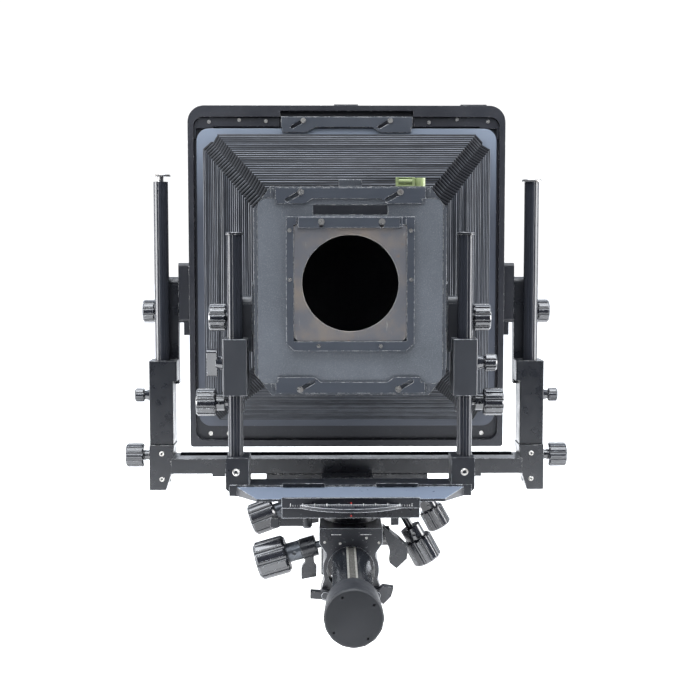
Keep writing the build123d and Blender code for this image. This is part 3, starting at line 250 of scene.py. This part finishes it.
def worn_metal(name, base, tint, rough, metallic=0.0, grain=900.0, grain_depth=0.00002, wear=0.5,
               wear_radius=0.0007, bare=(0.55, 0.55, 0.54), spec=0.5, mottling=0.25, spots=0.0,
               painted_ledge_highlight=None, painted_top_light=None):
    """Painted or anodised metal: uneven colour, fine grain, rubbed and chipped edges.

    ledge is a painted highlight: the colour of faces that look up and lean a little to the lens side.
    painted_top_light is painted light from above: the colour that the upper end turns to.
    """
    t = Tree(name)
    cloud = t.span(t.noise(22.0, 4.0), *CLOUDS)
    colour = t.blend(t.math("MULTIPLY", cloud, mottling), base, tint)
    # Painted light from above: the colour blends towards the given lighter top colour with height.
    if painted_top_light:
        height = t.axes(t.position())[2]
        colour = t.blend(t.span(height, PAINTED_TOP_START, PAINTED_TOP_END), colour, painted_top_light)
    # Painted highlight: faces that look up and lean a little to the lens side take the given lighter
    # colour.
    if painted_ledge_highlight:
        normal = t.axes(t.face_normal())
        leans_forward = t.span(normal[1], -0.1, -0.16)
        looks_up = t.span(normal[2], 0.85, 0.9)
        colour = t.blend(t.math("MULTIPLY", leans_forward, looks_up), colour, painted_ledge_highlight)
    if spots:
        fleck = t.span(t.noise(620.0, 2.0), 0.66, 0.72, 0.0, spots)
        colour = t.blend(fleck, colour, bare)
    colour = t.blend(t.chips(wear_radius, 260.0, 1.0 - wear), colour, bare)
    t.set("Base Color", colour)
    t.set("Metallic", metallic)
    t.set("Roughness", t.span(t.noise(75.0, 3.0), 0.3, 0.7, rough - 0.07, rough + 0.07))
    t.set("Specular IOR Level", spec)
    t.set("Normal", t.bump(t.noise(grain, 3.0), 0.5, grain_depth, t.rounded(wear_radius)))
    return t.material


def wrinkle_paint(name, base, tint, scale, depth, rough, bare, fleck):
    """Coarse crackle paint with light flecks on its raised grain."""
    t = Tree(name)
    grain = t.noise(scale, 3.0, 0.7)
    cloud = t.span(t.noise(16.0, 4.0), *CLOUDS)
    colour = t.blend(cloud, base, tint)
    colour = t.blend(t.span(grain, 0.52, 0.75, 0.0, fleck), colour, bare)
    colour = t.blend(t.chips(0.0006, 210.0, 0.5), colour, (0.5, 0.5, 0.48))
    t.set("Base Color", colour)
    t.set("Roughness", rough)
    t.set("Normal", t.bump(grain, 0.8, depth, t.rounded(0.0006)))
    return t.material


def worn_board_paint():
    """Old black enamel on the small board: brown stains, scuffs and a rubbed edge."""
    t = Tree("worn_board")
    stain = t.span(t.noise(34.0, 6.0, 0.65), 0.42, 0.66)
    colour = t.blend(stain, (0.105, 0.107, 0.117), (0.16, 0.135, 0.115))
    rust = t.span(t.noise(130.0, 6.0, 0.7), 0.62, 0.7, 0.0, 0.6)
    colour = t.blend(rust, colour, (0.2, 0.11, 0.06))
    scuff = t.span(t.noise(420.0, 4.0, 0.75, (1.0, 1.0, 0.15)), 0.66, 0.74, 0.0, 0.5)
    colour = t.blend(scuff, colour, (0.45, 0.44, 0.42))
    colour = t.blend(t.chips(0.0008, 180.0, 0.42), colour, (0.5, 0.47, 0.43))
    t.set("Base Color", colour)
    t.set("Roughness", t.span(stain, 0.0, 1.0, 0.38, 0.6))
    t.set("Normal", t.bump(t.noise(500.0, 4.0), 0.5, 0.00004, t.rounded(0.0005)))
    return t.material


def bellows_cloth():
    """Coated cloth: dull black with a fine weave, painted shade in the fold valleys, and greyer fold
    ridges that are partly rubbed and partly a painted highlight.
    """
    t = Tree("bellows_cloth")
    threads = {"Vector": t.position(), "Scale": 900.0, "Distortion": 1.2, "Detail": 1.0}
    bands = t.new("ShaderNodeTexWave", threads, wave_type="BANDS", bands_direction="DIAGONAL")
    weave = bands.outputs["Fac"]
    cloud = t.span(t.noise(14.0, 4.0), 0.3, 0.7)
    colour = t.blend(cloud, (0.007, 0.008, 0.01), (0.015, 0.016, 0.02))
    folds = t.new("ShaderNodeAttribute", attribute_name="fold").outputs["Fac"]
    # Painted shade: near black in the fold valleys, where the folds shade each other.
    colour = t.blend(t.span(folds, 0.72, 0.93), (0.0015, 0.0015, 0.002), colour)
    # Greyer ridge lines, partly rubbed cloth and partly a painted highlight where the ridges catch the
    # light.
    uneven = t.span(t.noise(60.0, 3.0), 0.3, 0.6, 0.45, 1.0)
    rubbed = t.math("MULTIPLY", t.span(folds, 0.945, 0.985), uneven)
    colour = t.blend(rubbed, colour, (0.085, 0.095, 0.115))
    t.set("Base Color", colour)
    t.set("Roughness", 0.45)
    t.set("Specular IOR Level", t.span(folds, 0.8, 0.97, 0.02, 0.35))
    t.set("Normal", t.bump(weave, 0.2, 0.00003))
    return t.material


def bare_metal(name, base, rough):
    """Unpainted metal with fine scratches and brown grime."""
    t = Tree(name)
    grime = t.span(t.noise(180.0, 5.0, 0.7), 0.45, 0.7)
    t.set("Base Color", t.blend(grime, base, (0.12, 0.1, 0.08)))
    t.set("Metallic", 0.9)
    t.set("Roughness", t.span(grime, 0.0, 1.0, rough, rough + 0.3))
    t.set("Normal", t.bump(t.noise(700.0, 2.0, 0.5), 0.4, 0.00002))
    return t.material


RACK_LIP_X = 2.4 * MM


def toothed_strip():
    """Rack: bright worn lips on both sides of dark teeth, with a painted highlight on the tooth tops."""
    t = Tree("rack_steel")
    place = t.axes(t.position())
    lip = t.math("GREATER_THAN", t.math("ABSOLUTE", place[0], 0.0), RACK_LIP_X)
    # Painted highlight: the flat tops of the teeth take the lips' light colour.
    looks_up = t.math("GREATER_THAN", t.axes(t.face_normal())[2], 0.97)
    painted_tooth_highlight = t.math("MULTIPLY", looks_up, t.math("GREATER_THAN", place[2], RACK_TIP))
    grime = t.span(t.noise(220.0, 5.0, 0.7), 0.4, 0.7, 0.0, 0.6)
    colour = t.blend(t.math("MAXIMUM", lip, painted_tooth_highlight), (0.02, 0.019, 0.018), (0.36, 0.35, 0.32))
    t.set("Base Color", t.blend(grime, colour, (0.07, 0.065, 0.055)))
    t.set("Metallic", 0.6)
    t.set("Roughness", t.span(grime, 0.0, 0.6, 0.32, 0.6))
    t.set("Normal", t.bump(t.noise(900.0, 2.0), 0.4, 0.00002))
    return t.material


def cap_rubber():
    t = Tree("cap_rubber")
    cloud = t.span(t.noise(45.0, 4.0), 0.35, 0.7)
    t.set("Base Color", t.blend(cloud, (0.005, 0.006, 0.008), (0.011, 0.012, 0.015)))
    t.set("Specular IOR Level", 0.35)
    t.set("Roughness", t.span(t.noise(90.0, 3.0), 0.3, 0.7, 0.45, 0.62))
    t.set("Normal", t.bump(t.noise(1400.0, 3.0), 0.6, 0.00003, t.rounded(0.0006)))
    return t.material


LIQUID_COLOUR = (0.42, 0.5, 0.24)


def level_liquid():
    """Yellow-green liquid in the clear housings of the levels."""
    t = Tree("level_liquid")
    cloud = t.span(t.noise(120.0, 2.0), 0.4, 0.6)
    t.set("Base Color", t.blend(cloud, LIQUID_COLOUR, tuple(c * 0.8 for c in LIQUID_COLOUR)))
    t.set("Roughness", 0.12)
    t.set("Transmission Weight", 0.3)
    return t.material


def frosted_glass():
    t = Tree("frosted_glass")
    t.set("Base Color", t.blend(t.noise(300.0, 3.0), (0.26, 0.285, 0.285), (0.33, 0.35, 0.35)))
    t.set("Roughness", 0.45)
    t.set("Normal", t.bump(t.noise(2500.0, 2.0), 0.3, 0.00002))
    return t.material


def mark_paint(name, colour, dirty, scale, rough):
    """Paint in engraved marks, dirty in patches."""
    t = Tree(name)
    t.set("Base Color", t.blend(t.span(t.noise(scale, 3.0), 0.45, 0.65), colour, dirty))
    t.set("Roughness", rough)
    return t.material


BLACK = worn_metal("black_anodised", (0.009, 0.01, 0.013), (0.018, 0.02, 0.025), 0.3)
SATIN = worn_metal(
    "satin_black", (0.032, 0.034, 0.039), (0.046, 0.049, 0.056), 0.34,
    wear=0.55, wear_radius=0.0008, bare=(0.6, 0.62, 0.65))
RAIL = worn_metal(
    "rail_black", (0.006, 0.007, 0.009), (0.012, 0.013, 0.016), 0.16,
    grain_depth=0.000006, wear=0.2, spec=0.9)
WORN_BLACK = worn_metal(
    "worn_black", (0.01, 0.011, 0.015), (0.022, 0.024, 0.029), 0.32,
    wear=0.62, wear_radius=0.0009, bare=(0.75, 0.77, 0.8), spots=0.12)
# Painted highlight: the yoke's faces that look up and lean forward get a lighter, bluish colour.
YOKE_BLACK = worn_metal(
    "yoke_black", (0.01, 0.011, 0.015), (0.022, 0.024, 0.029), 0.34,
    wear=0.5, wear_radius=0.0008, bare=(0.7, 0.72, 0.75), spots=0.04, painted_ledge_highlight=(0.115, 0.138, 0.18))
COLUMN = worn_metal(
    "column_black", (0.02, 0.022, 0.028), (0.026, 0.029, 0.036), 0.2,
    grain_depth=0.000004, wear=0.1, mottling=0.1, spec=0.45)
ENAMEL = worn_metal(
    "black_enamel", (0.014, 0.015, 0.02), (0.024, 0.026, 0.033), 0.42,
    grain=1500.0, grain_depth=0.00003, wear=0.42, spots=0.05)
# Painted light from above: the plate's upper end turns lighter with height.
PLATE = worn_metal(
    "plate_enamel", (0.055, 0.062, 0.08), (0.07, 0.078, 0.098), 0.42,
    grain=1500.0, grain_depth=0.00002, wear=0.35, painted_top_light=(0.17, 0.2, 0.25))
SLIDER = worn_metal(
    "slider_black", (0.045, 0.051, 0.063), (0.066, 0.073, 0.088), 0.35,
    wear=0.5, wear_radius=0.0009, bare=(0.6, 0.6, 0.6))
WRINKLE = wrinkle_paint(
    "grey_wrinkle", (0.078, 0.087, 0.1), (0.102, 0.112, 0.128), 1300.0, 0.00016, 0.5,
    (0.3, 0.31, 0.33), 0.7)
FRAME_PAINT = wrinkle_paint(
    "frame_wrinkle", (0.04, 0.045, 0.054), (0.056, 0.062, 0.072), 1500.0, 0.0001, 0.45,
    (0.25, 0.26, 0.28), 0.35)
WORN = worn_board_paint()
KNOB = worn_metal(
    "knob_black", (0.012, 0.013, 0.017), (0.024, 0.027, 0.033), 0.18,
    wear=0.45, wear_radius=0.0006, bare=(0.7, 0.72, 0.76), spec=1.0)
COLLAR = worn_metal("collar_grey", (0.08, 0.088, 0.1), (0.12, 0.13, 0.15), 0.26, metallic=0.4, wear=0.5)
RACK = toothed_strip()
SCREW = bare_metal("bare_screws", (0.7, 0.69, 0.66), 0.24)
STEEL = bare_metal("spindle_steel", (0.5, 0.5, 0.5), 0.3)
SPRING = bare_metal("spring_steel", (0.42, 0.42, 0.42), 0.3)
CLOTH = bellows_cloth()
RUBBER = cap_rubber()
LIQUID = level_liquid()
GLASS = frosted_glass()
WHITE = mark_paint("scale_white", (0.75, 0.75, 0.73), (0.3, 0.3, 0.3), 600.0, 0.6)
RED = mark_paint("index_red", (0.5, 0.03, 0.02), (0.25, 0.03, 0.02), 500.0, 0.5)

NODE_MATERIALS = {
    "rear_frame": ENAMEL, "back_frame": ENAMEL, "rear_corner_plates": ENAMEL,
    "bellows_rear_plate": PLATE, "bellows_front_ring": PLATE,
    "front_frame": FRAME_PAINT, "lens_board": WRINKLE, "small_lens_board": WORN,
    "board_adapter": SLIDER, "adapter_lock_bar": SLIDER,
    "front_slider_top": SLIDER, "front_slider_bottom": SLIDER, "rear_slider_top": SLIDER,
    "front_clamp_block": WORN_BLACK, "front_swing_plate": WORN_BLACK,
    "front_yoke": YOKE_BLACK, "front_carriages": SATIN,
    "front_columns": COLUMN, "rear_columns": COLUMN,
    "front_focus_shaft": COLLAR, "rear_focus_shaft": COLLAR,
    "rail_tube": RAIL, "rail_rack": RACK, "rail_caps": RUBBER,
    "spirit_levels": LIQUID, "ground_glass": GLASS, "back_springs": SPRING,
    "rear_spindle_left": STEEL, "rear_spindle_right": STEEL,
    "front_screws": SCREW, "rear_screws": SCREW,
}


def node_material(node):
    """Knobs and the wings of the rise locks share one look, and what isn't listed is plain black."""
    if node in NODE_MATERIALS:
        return NODE_MATERIALS[node]
    if "knob" in node or "rise_lock" in node:
        return KNOB
    return BLACK


for node_name, node_object in frame["nodes"].items():
    node_object.data.materials.clear()
    node_object.data.materials.append(node_material(node_name))


# ---------------------------------------------------------------- screws, scales and marks
SCREW_SINK = 0.4 * MM
SCREW_STEPS = 24
YOKE_SCREW_Y = low("front_yoke").y + 26 * MM
CLAMP_FACE_Y = low("front_clamp_block").y + 10.4 * MM

# Piece, body, then radius, height and recess in mm, the face's Y, and places as X and depth below
# the lens axis in mm.
SCREW_SETS = (
    ("yoke_arm_screws", "front_yoke", (3.2, 0.7, 1.0), YOKE_SCREW_Y,
     ((-98, 162), (98, 162))),
    ("base_block_screws", "rear_yoke", (2.5, 0.5, 0.9), REAR_Y - 2 * MM,
     ((-194, 186), (-194, 213), (194, 186), (194, 213))),
    ("clamp_screws", "front_clamp", (1.1, 0.35, 0.3), CLAMP_FACE_Y,
     ((-22, 216), (-9, 217), (13, 212.5), (23.5, 216.5))),
)

MARK_T = 0.12 * MM         # scale marks
MARK_BEVEL = 0.03 * MM
LONG_MARK_W = 0.5 * MM
SHORT_MARK_W = 0.22 * MM
SHORT_MARK_SHARE = 0.55
LONG_MARK_EVERY = 5
SHIFT_SCALE_STEP = 2 * MM
SHIFT_SCALE_REACH = 50 * MM
SHIFT_SCALE_H = 2.6 * MM
SHIFT_SCALE_DROP = 3.6 * MM      # from the swing plate's top to the foot of the marks
CLAMP_LINE_DROP = 209.5 * MM
CLAMP_LINES = ((-16.5, -8), (8, 17))
INDEX_SIZE = (1.1 * MM, 0.14 * MM, 1.3 * MM)
INDEX_BEVEL = 0.05 * MM

TURNTABLE_R = 22.5 * MM
TURNTABLE_Y = BOARD_Y + 4 * MM
TURNTABLE_Z = LENS_Z - 201 * MM
DEGREE_STEP = 4
DEGREE_COUNT = 15          # marks to each side of the middle one
LONG_DEGREE_H = 3.4 * MM
SHORT_DEGREE_H = 1.9 * MM
DEGREE_MARK_W = 0.3 * MM
DEGREE_MARK_T = 0.14 * MM

NAMEPLATE_SIZE = (62.5 * MM, 0.5 * MM, 7.6 * MM)
NAMEPLATE_PLACE = (0, BOARD_Y + 0.55 * MM, LENS_Z + 62.15 * MM)
NAMEPLATE_BEVEL = 0.2 * MM


def facing_front(x, y, z):
    """Place whose +Z axis points to the lens side."""
    return Matrix.Translation((x, y, z)) @ Matrix.Rotation(math.radians(90), 4, "X")


def screw_head(bm, x, y, z, radius, height, recess):
    """Cap screw seen from the front: domed rim around a recess."""
    floor = height - recess
    profile = ((0, -SCREW_SINK), (radius, -SCREW_SINK), (radius, height * 0.6), (radius * 0.85, height),
               (radius * 0.52, height), (radius * 0.48, floor), (0, floor))
    lathe(bm, profile, facing_front(x, y, z), SCREW_STEPS)


def build_screws():
    for name, body, (radius, height, recess), y, places in SCREW_SETS:
        bm = bmesh.new()
        for x, drop in places:
            screw_head(bm, x * MM, y, LENS_Z - drop * MM, radius * MM, height * MM, recess * MM)
        add_object(name, bm_mesh(name, bm), body, SCREW)


def build_swing_plate_scale():
    """Filled marks along X on the swing plate's front, for the shift."""
    foot_z = high("front_swing_plate").z - SHIFT_SCALE_DROP
    bm = bmesh.new()
    count = int(SHIFT_SCALE_REACH / SHIFT_SCALE_STEP)
    for k in range(-count, count + 1):
        is_long = k % LONG_MARK_EVERY == 0
        tall = SHIFT_SCALE_H if is_long else SHIFT_SCALE_H * SHORT_MARK_SHARE
        width = LONG_MARK_W if is_long else SHORT_MARK_W
        place = Matrix.Translation((k * SHIFT_SCALE_STEP, low("front_swing_plate").y, foot_z + tall / 2))
        bevelled_box(bm, (width, MARK_T, tall), place, MARK_BEVEL)
    add_object("swing_scale", bm_mesh("swing_scale", bm), "front_swing", WHITE, smooth=False)


def build_clamp_lines():
    """Two white lines on the clamp's housing."""
    bm = bmesh.new()
    for x0, x1 in CLAMP_LINES:
        place = Matrix.Translation(((x0 + x1) / 2 * MM, CLAMP_FACE_Y, LENS_Z - CLAMP_LINE_DROP))
        bevelled_box(bm, ((x1 - x0) * MM, MARK_T, LONG_MARK_W), place, MARK_BEVEL)
    add_object("clamp_lines", bm_mesh("clamp_lines", bm), "front_clamp", WHITE, smooth=False)


def build_index_marks():
    """Red marks above the shift scale and on the plate's foot."""
    plate_y = low("front_swing_plate").y
    lip_top = high("front_swing_plate").z
    bm = bmesh.new()
    places = ((0, plate_y, lip_top - 0.9 * MM), (0, plate_y + 1 * MM, LENS_Z - 190 * MM))
    for place in places:
        bevelled_box(bm, INDEX_SIZE, Matrix.Translation(place), INDEX_BEVEL)
    add_object("index_marks", bm_mesh("index_marks", bm), "front_swing", RED, smooth=False)


def build_turntable_scale():
    """Degree marks round the front of the swing plate's boss."""
    bm = bmesh.new()
    pivot = Matrix.Translation((0, TURNTABLE_Y, TURNTABLE_Z))
    for k in range(-DEGREE_COUNT, DEGREE_COUNT + 1):
        turn = Matrix.Rotation(math.radians(k * DEGREE_STEP), 4, "Z")
        tall = LONG_DEGREE_H if k % LONG_MARK_EVERY == 0 else SHORT_DEGREE_H
        place = pivot @ turn @ Matrix.Translation((0, -TURNTABLE_R, tall / 2))
        bevelled_box(bm, (DEGREE_MARK_W, DEGREE_MARK_T, tall), place, MARK_BEVEL)
    add_object("degree_scale", bm_mesh("degree_scale", bm), "front_swing", WHITE, smooth=False)


def build_nameplate():
    """Blank plate in the recess at the top of the lens board."""
    bm = bmesh.new()
    bevelled_box(bm, NAMEPLATE_SIZE, Matrix.Translation(NAMEPLATE_PLACE), NAMEPLATE_BEVEL)
    mesh = bm_mesh("blank_nameplate", bm)
    add_object("blank_nameplate", mesh, "front_frame", ENAMEL, smooth=False)


build_screws()
build_swing_plate_scale()
build_clamp_lines()
build_index_marks()
build_turntable_scale()
build_nameplate()


# ---------------------------------------------------------------- light baffle in the casing
BAFFLE_T = 2 * MM
BAFFLE_CLEARANCE = 0.9 * MM      # to the back frame behind it
BAFFLE_OUTER = (159.9 * MM, LENS_Z - 174.9 * MM, LENS_Z + 171.4 * MM, 9.9 * MM)
BAFFLE_INNER = (146 * MM, LENS_Z - 147 * MM, LENS_Z + 143 * MM, 8 * MM)
CORNER_STEPS = 6


def rounded_outline(half_x, z0, z1, radius):
    """Points round a rectangle with rounded corners, counterclockwise seen from the lens side."""
    points = []
    centres = ((half_x - radius, z1 - radius), (radius - half_x, z1 - radius),
               (radius - half_x, z0 + radius), (half_x - radius, z0 + radius))
    for corner, (x, z) in enumerate(centres):
        for k in range(CORNER_STEPS + 1):
            turn = math.radians(90 * (corner + k / CORNER_STEPS))
            points.append((x + radius * math.cos(turn), z + radius * math.sin(turn)))
    return points


def build_light_baffle():
    """Thin frame that closes the gap around the back. The CAD model leaves this gap open."""
    outer = rounded_outline(*BAFFLE_OUTER)
    inner = rounded_outline(*BAFFLE_INNER)
    back = low("back_frame").y - BAFFLE_CLEARANCE
    verts = []
    for y in (back - BAFFLE_T, back):
        verts += [(x, y, z) for x, z in outer]
        verts += [(x, y, z) for x, z in inner]
    size = len(outer)
    faces = []
    for k in range(size):
        n = (k + 1) % size
        outer_front, inner_front, outer_back, inner_back = (
            (ring * size + k, ring * size + n) for ring in range(4))
        faces.append((*outer_front, *reversed(inner_front)))
        faces.append((*inner_back, *reversed(outer_back)))
        faces.append((outer_front[0], *outer_back, outer_front[1]))
        faces.append((*inner_front, *reversed(inner_back)))
    mesh = mesh_from("light_baffle", verts, faces)
    add_object("light_baffle", mesh, "rear_frame", ENAMEL, smooth=False)


build_light_baffle()


# ---------------------------------------------------------------- bellows
# One section for each joint between the two standards, with its number of pleats.
CHAIN = (
    ("front_frame", "front_carriage", 4),
    ("front_carriage", "front_yoke", 4),
    ("front_yoke", "front_swing", 3),
    ("front_swing", "front_clamp", 2),
    ("front_clamp", "rail", 5),
    ("rail", "rear_clamp", 2),
    ("rear_clamp", "rear_swing", 2),
    ("rear_swing", "rear_yoke", 3),
    ("rear_yoke", "rear_carriage", 3),
    ("rear_carriage", "rear_frame", 4),
)
PLEATS = sum(count for _, _, count in CHAIN)

# Lines round the tube within one pleat: share of the pitch, and -1 at the valley to 1 at the ridge.
FOLD_LINES = ((0.0, -1.0), (0.06, -0.94), (0.46, 0.92), (0.52, 1.0), (0.58, 0.92))
FOLD_DEPTH = 4.8 * MM
FOLD_CUT = 15 * MM         # chamfer of the tube's corners
CORNER_TURN = 0.7          # depth of the corner strips' folds against the sides' folds
SIDE_STEPS = 14
DROOP = 0.28 * MM
END_GAP = 0.2 * MM

NEAR_INSET = 1.0 * MM      # from the outline of the front ring and of the rear plate
FAR_INSET = 10.5 * MM
FAR_TOP_INSET = 9.5 * MM
BELLOWS_START = high("bellows_front_ring").y + END_GAP
BELLOWS_END = low("bellows_rear_plate").y - END_GAP
PITCH = (BELLOWS_END - BELLOWS_START) / PLEATS
SAME_LINE = 1e-6           # rounding allowed when lines are picked for a section, in pleats


def between(near, far, share):
    return near + (far - near) * share


def bellows_outline(share, grow):
    """Corners of the chamfered rectangle at a share of the way back, grown outwards by a fold."""
    near_low, near_high = low("bellows_front_ring"), high("bellows_front_ring")
    far_low, far_high = low("bellows_rear_plate"), high("bellows_rear_plate")
    x = between(near_high.x - NEAR_INSET, far_high.x - FAR_INSET, share) + grow
    z0 = between(near_low.z + NEAR_INSET, far_low.z + FAR_INSET, share) - grow
    z1 = between(near_high.z - NEAR_INSET, far_high.z - FAR_TOP_INSET, share) + grow
    cut_x = x - FOLD_CUT
    cut_z0 = z0 + FOLD_CUT
    cut_z1 = z1 - FOLD_CUT
    return [(-cut_x, z0), (cut_x, z0), (x, cut_z0), (x, cut_z1),
            (cut_x, z1), (-cut_x, z1), (-x, cut_z1), (-x, cut_z0)]


def split_outline(share, grow):
    """Points round one fold line with their fold value. The corner strips fold the other way."""
    corners = bellows_outline(share, grow * FOLD_DEPTH)
    turned = bellows_outline(share, -grow * CORNER_TURN * FOLD_DEPTH)
    points = []
    for k, (x0, z0) in enumerate(corners):
        n = (k + 1) % len(corners)
        x1, z1 = corners[n]
        points.append((x0, z0, grow))
        if k % 2:
            a, b = turned[k], turned[n]
            # The corner point gets the full fold value, though its fold is shallower, so the cloth's
            # painted ridge highlight and valley shade reach the corner strips.
            points.append(((a[0] + b[0]) / 2, (a[1] + b[1]) / 2, -grow))
            continue
        points += [(between(x0, x1, i / SIDE_STEPS), between(z0, z1, i / SIDE_STEPS), grow)
                   for i in range(1, SIDE_STEPS)]
    return points


def fold_lines():
    """Every line from front to back: place in pleats, fold value, and phase and reach of its droop."""
    rng = random.Random(7)
    lines = []
    for k in range(PLEATS):
        for share, grow in FOLD_LINES:
            lines.append((k + share, grow))
            rng.random()       # a draw that nothing uses, kept so that the droop stays as it was tuned
    lines.append((PLEATS, -1.0))
    return [(at, grow, rng.uniform(0, 6.28), rng.uniform(0.5, 1.4)) for at, grow in lines]


def section_mesh(name, lines):
    """Strip of the tube through its fold lines, with the fold value on every point."""
    verts, faces, folds = [], [], []
    for at, grow, phase, reach in lines:
        outline = split_outline(at / PLEATS, grow)
        size = len(outline)
        droop = 0 if at in (0, PLEATS) else DROOP * reach
        for j, (x, z, fold) in enumerate(outline):
            wave = math.sin(phase + 3.0 * math.pi * j / size)
            verts.append((x, BELLOWS_START + at * PITCH + wave * droop, z))
            folds.append((fold + 1.0) / 2.0)
    for row in range(len(lines) - 1):
        for j in range(size):
            n = (j + 1) % size
            faces.append((row * size + j, (row + 1) * size + j, (row + 1) * size + n, row * size + n))
    mesh = mesh_from(name, verts, faces)
    attribute = mesh.attributes.new("fold", "FLOAT", "POINT")
    attribute.data.foreach_set("value", folds)
    return mesh


def build_bellows():
    """Pleated tube in sections, one for each joint of the chain."""
    lines = fold_lines()
    first = 0.0
    for body_a, body_b, count in CHAIN:
        last = first + count
        own = [line for line in lines if first - SAME_LINE <= line[0] <= last + SAME_LINE]
        name = f"bellows_{body_a}_{body_b}"
        piece = add_object(name, section_mesh(name, own), None, CLOTH, smooth=False)
        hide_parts("bellows")
        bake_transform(piece)
        first = last


build_bellows()


# ---------------------------------------------------------------- floor, light and camera
FLOOR_Z = CAD_BOUNDS[0][2]
FLOOR_HALF = 9.0
FLOOR_FRONT = BOARD_Y - 0.34
FLOOR_GLOW = 0.75
CAMERA_PLACE = Vector((-0.0165, BOARD_Y - 1.120, LENS_Z + 0.033))
CAMERA_YAW = math.radians(-0.83)
CAMERA_PITCH = math.radians(-4.6)
CAMERA_LENS = 67.58
SENSOR = 36.0
CLIP_END = 60
BACKDROP_STRENGTH = 1.1

# Name, place, size, power and colour. All lights aim at the bellows' front.
LIGHT_AIM = (0, BOARD_Y + 0.1, LENS_Z)
LIGHTS = (
    ("top_soft", (0, BOARD_Y - 0.15, LENS_Z + 1.3), (2.0, 1.3), 66, (0.93, 0.96, 1.0)),
    ("strip_left", (-1.5, BOARD_Y + 0.05, LENS_Z + 0.2), (0.6, 1.4), 40, (1, 1, 1)),
    ("strip_right", (1.5, BOARD_Y + 0.05, LENS_Z + 0.2), (0.6, 1.4), 36, (1, 1, 1)),
    ("front_fill", (-0.3, BOARD_Y - 1.5, LENS_Z + 1.1), (0.7, 0.5), 9, (0.92, 0.96, 1.0)),
)

# Colour of the tent by height and by depth of the direction, 0 at -Z or -Y and 1 at +Z or +Y.
HEIGHT_STOPS = (
    (0.0, (0.25, 0.27, 0.3)),
    (0.47, (0.5, 0.53, 0.58)),
    (0.55, (0.95, 1.0, 1.08)),
    (1.0, (0.85, 0.95, 1.12)),
)
DEPTH_STOPS = (
    (0.0, (0.1, 0.1, 0.11)),
    (0.3, (0.13, 0.14, 0.16)),
    (0.45, (0.4, 0.42, 0.46)),
    (0.58, (1.0, 1.0, 1.0)),
    (1.0, (1.25, 1.25, 1.25)),
)


def build_floor():
    """Pale floor that ends a little before the picture's lower edge, so the front side stays dark."""
    corners = [(-FLOOR_HALF, FLOOR_FRONT, FLOOR_Z), (FLOOR_HALF, FLOOR_FRONT, FLOOR_Z),
               (FLOOR_HALF, FLOOR_HALF, FLOOR_Z), (-FLOOR_HALF, FLOOR_HALF, FLOOR_Z)]
    mesh = mesh_from("floor", corners, [(0, 1, 2, 3)])
    floor = bpy.data.objects.new("floor", mesh)
    bpy.context.scene.collection.objects.link(floor)
    t = Tree("floor_white")
    t.set("Base Color", t.blend(t.noise(3.0), (0.9, 0.9, 0.9), (0.93, 0.93, 0.93)))
    t.set("Roughness", 0.9)
    t.set("Emission Color", (1, 1, 1, 1))
    t.set("Emission Strength", FLOOR_GLOW)
    mesh.materials.append(t.material)


def area_light(name, place, size, power, colour):
    data = bpy.data.lights.new(name, "AREA")
    data.shape = "RECTANGLE"
    data.size, data.size_y = size
    data.energy = power
    data.color = colour
    light = bpy.data.objects.new(name, data)
    light.location = place
    light.rotation_euler = (Vector(LIGHT_AIM) - Vector(place)).to_track_quat("-Z", "Y").to_euler()
    bpy.context.scene.collection.objects.link(light)


def direction_ramp(nodes, links, value, stops):
    """Colour ramp over one coordinate of the view direction, -1 to 1."""
    share = nodes.new("ShaderNodeMapRange")
    share.inputs["From Min"].default_value = -1.0
    links.new(value, share.inputs["Value"])
    ramp = nodes.new("ShaderNodeValToRGB")
    ramp.color_ramp.elements.remove(ramp.color_ramp.elements[0])
    ramp.color_ramp.elements[0].position = stops[0][0]
    ramp.color_ramp.elements[0].color = (*stops[0][1], 1)
    for place, colour in stops[1:]:
        ramp.color_ramp.elements.new(place).color = (*colour, 1)
    links.new(share.outputs[0], ramp.inputs[0])
    return ramp.outputs[0]


def build_world():
    """Studio tent: white behind, beside and above the camera model, dark on the photographer's side."""
    world = bpy.data.worlds.new("studio")
    world.use_nodes = True
    bpy.context.scene.world = world
    nodes = world.node_tree.nodes
    links = world.node_tree.links
    axes = nodes.new("ShaderNodeSeparateXYZ")
    links.new(nodes.new("ShaderNodeTexCoord").outputs["Generated"], axes.inputs[0])
    tent = nodes.new("ShaderNodeVectorMath")
    tent.operation = "MULTIPLY"
    links.new(direction_ramp(nodes, links, axes.outputs["Z"], HEIGHT_STOPS), tent.inputs[0])
    links.new(direction_ramp(nodes, links, axes.outputs["Y"], DEPTH_STOPS), tent.inputs[1])
    links.new(tent.outputs[0], nodes["Background"].inputs["Color"])
    plain = nodes.new("ShaderNodeBackground")
    plain.inputs["Color"].default_value = (1, 1, 1, 1)
    plain.inputs["Strength"].default_value = BACKDROP_STRENGTH
    mix = nodes.new("ShaderNodeMixShader")
    links.new(nodes.new("ShaderNodeLightPath").outputs["Is Camera Ray"], mix.inputs[0])
    links.new(nodes["Background"].outputs[0], mix.inputs[1])
    links.new(plain.outputs[0], mix.inputs[2])
    links.new(mix.outputs[0], nodes["World Output"].inputs["Surface"])


def build_lights():
    for light in LIGHTS:
        area_light(*light)


def build_camera():
    data = bpy.data.cameras.new("camera")
    data.sensor_width = SENSOR
    data.lens = CAMERA_LENS
    data.clip_end = CLIP_END
    camera = bpy.data.objects.new("camera", data)
    camera.location = CAMERA_PLACE
    camera.rotation_euler = (math.radians(90) + CAMERA_PITCH, 0, CAMERA_YAW)
    bpy.context.scene.collection.objects.link(camera)
    bpy.context.scene.camera = camera


build_floor()
build_world()
build_lights()
build_camera()
bpy.context.scene.view_settings.view_transform = "Standard"
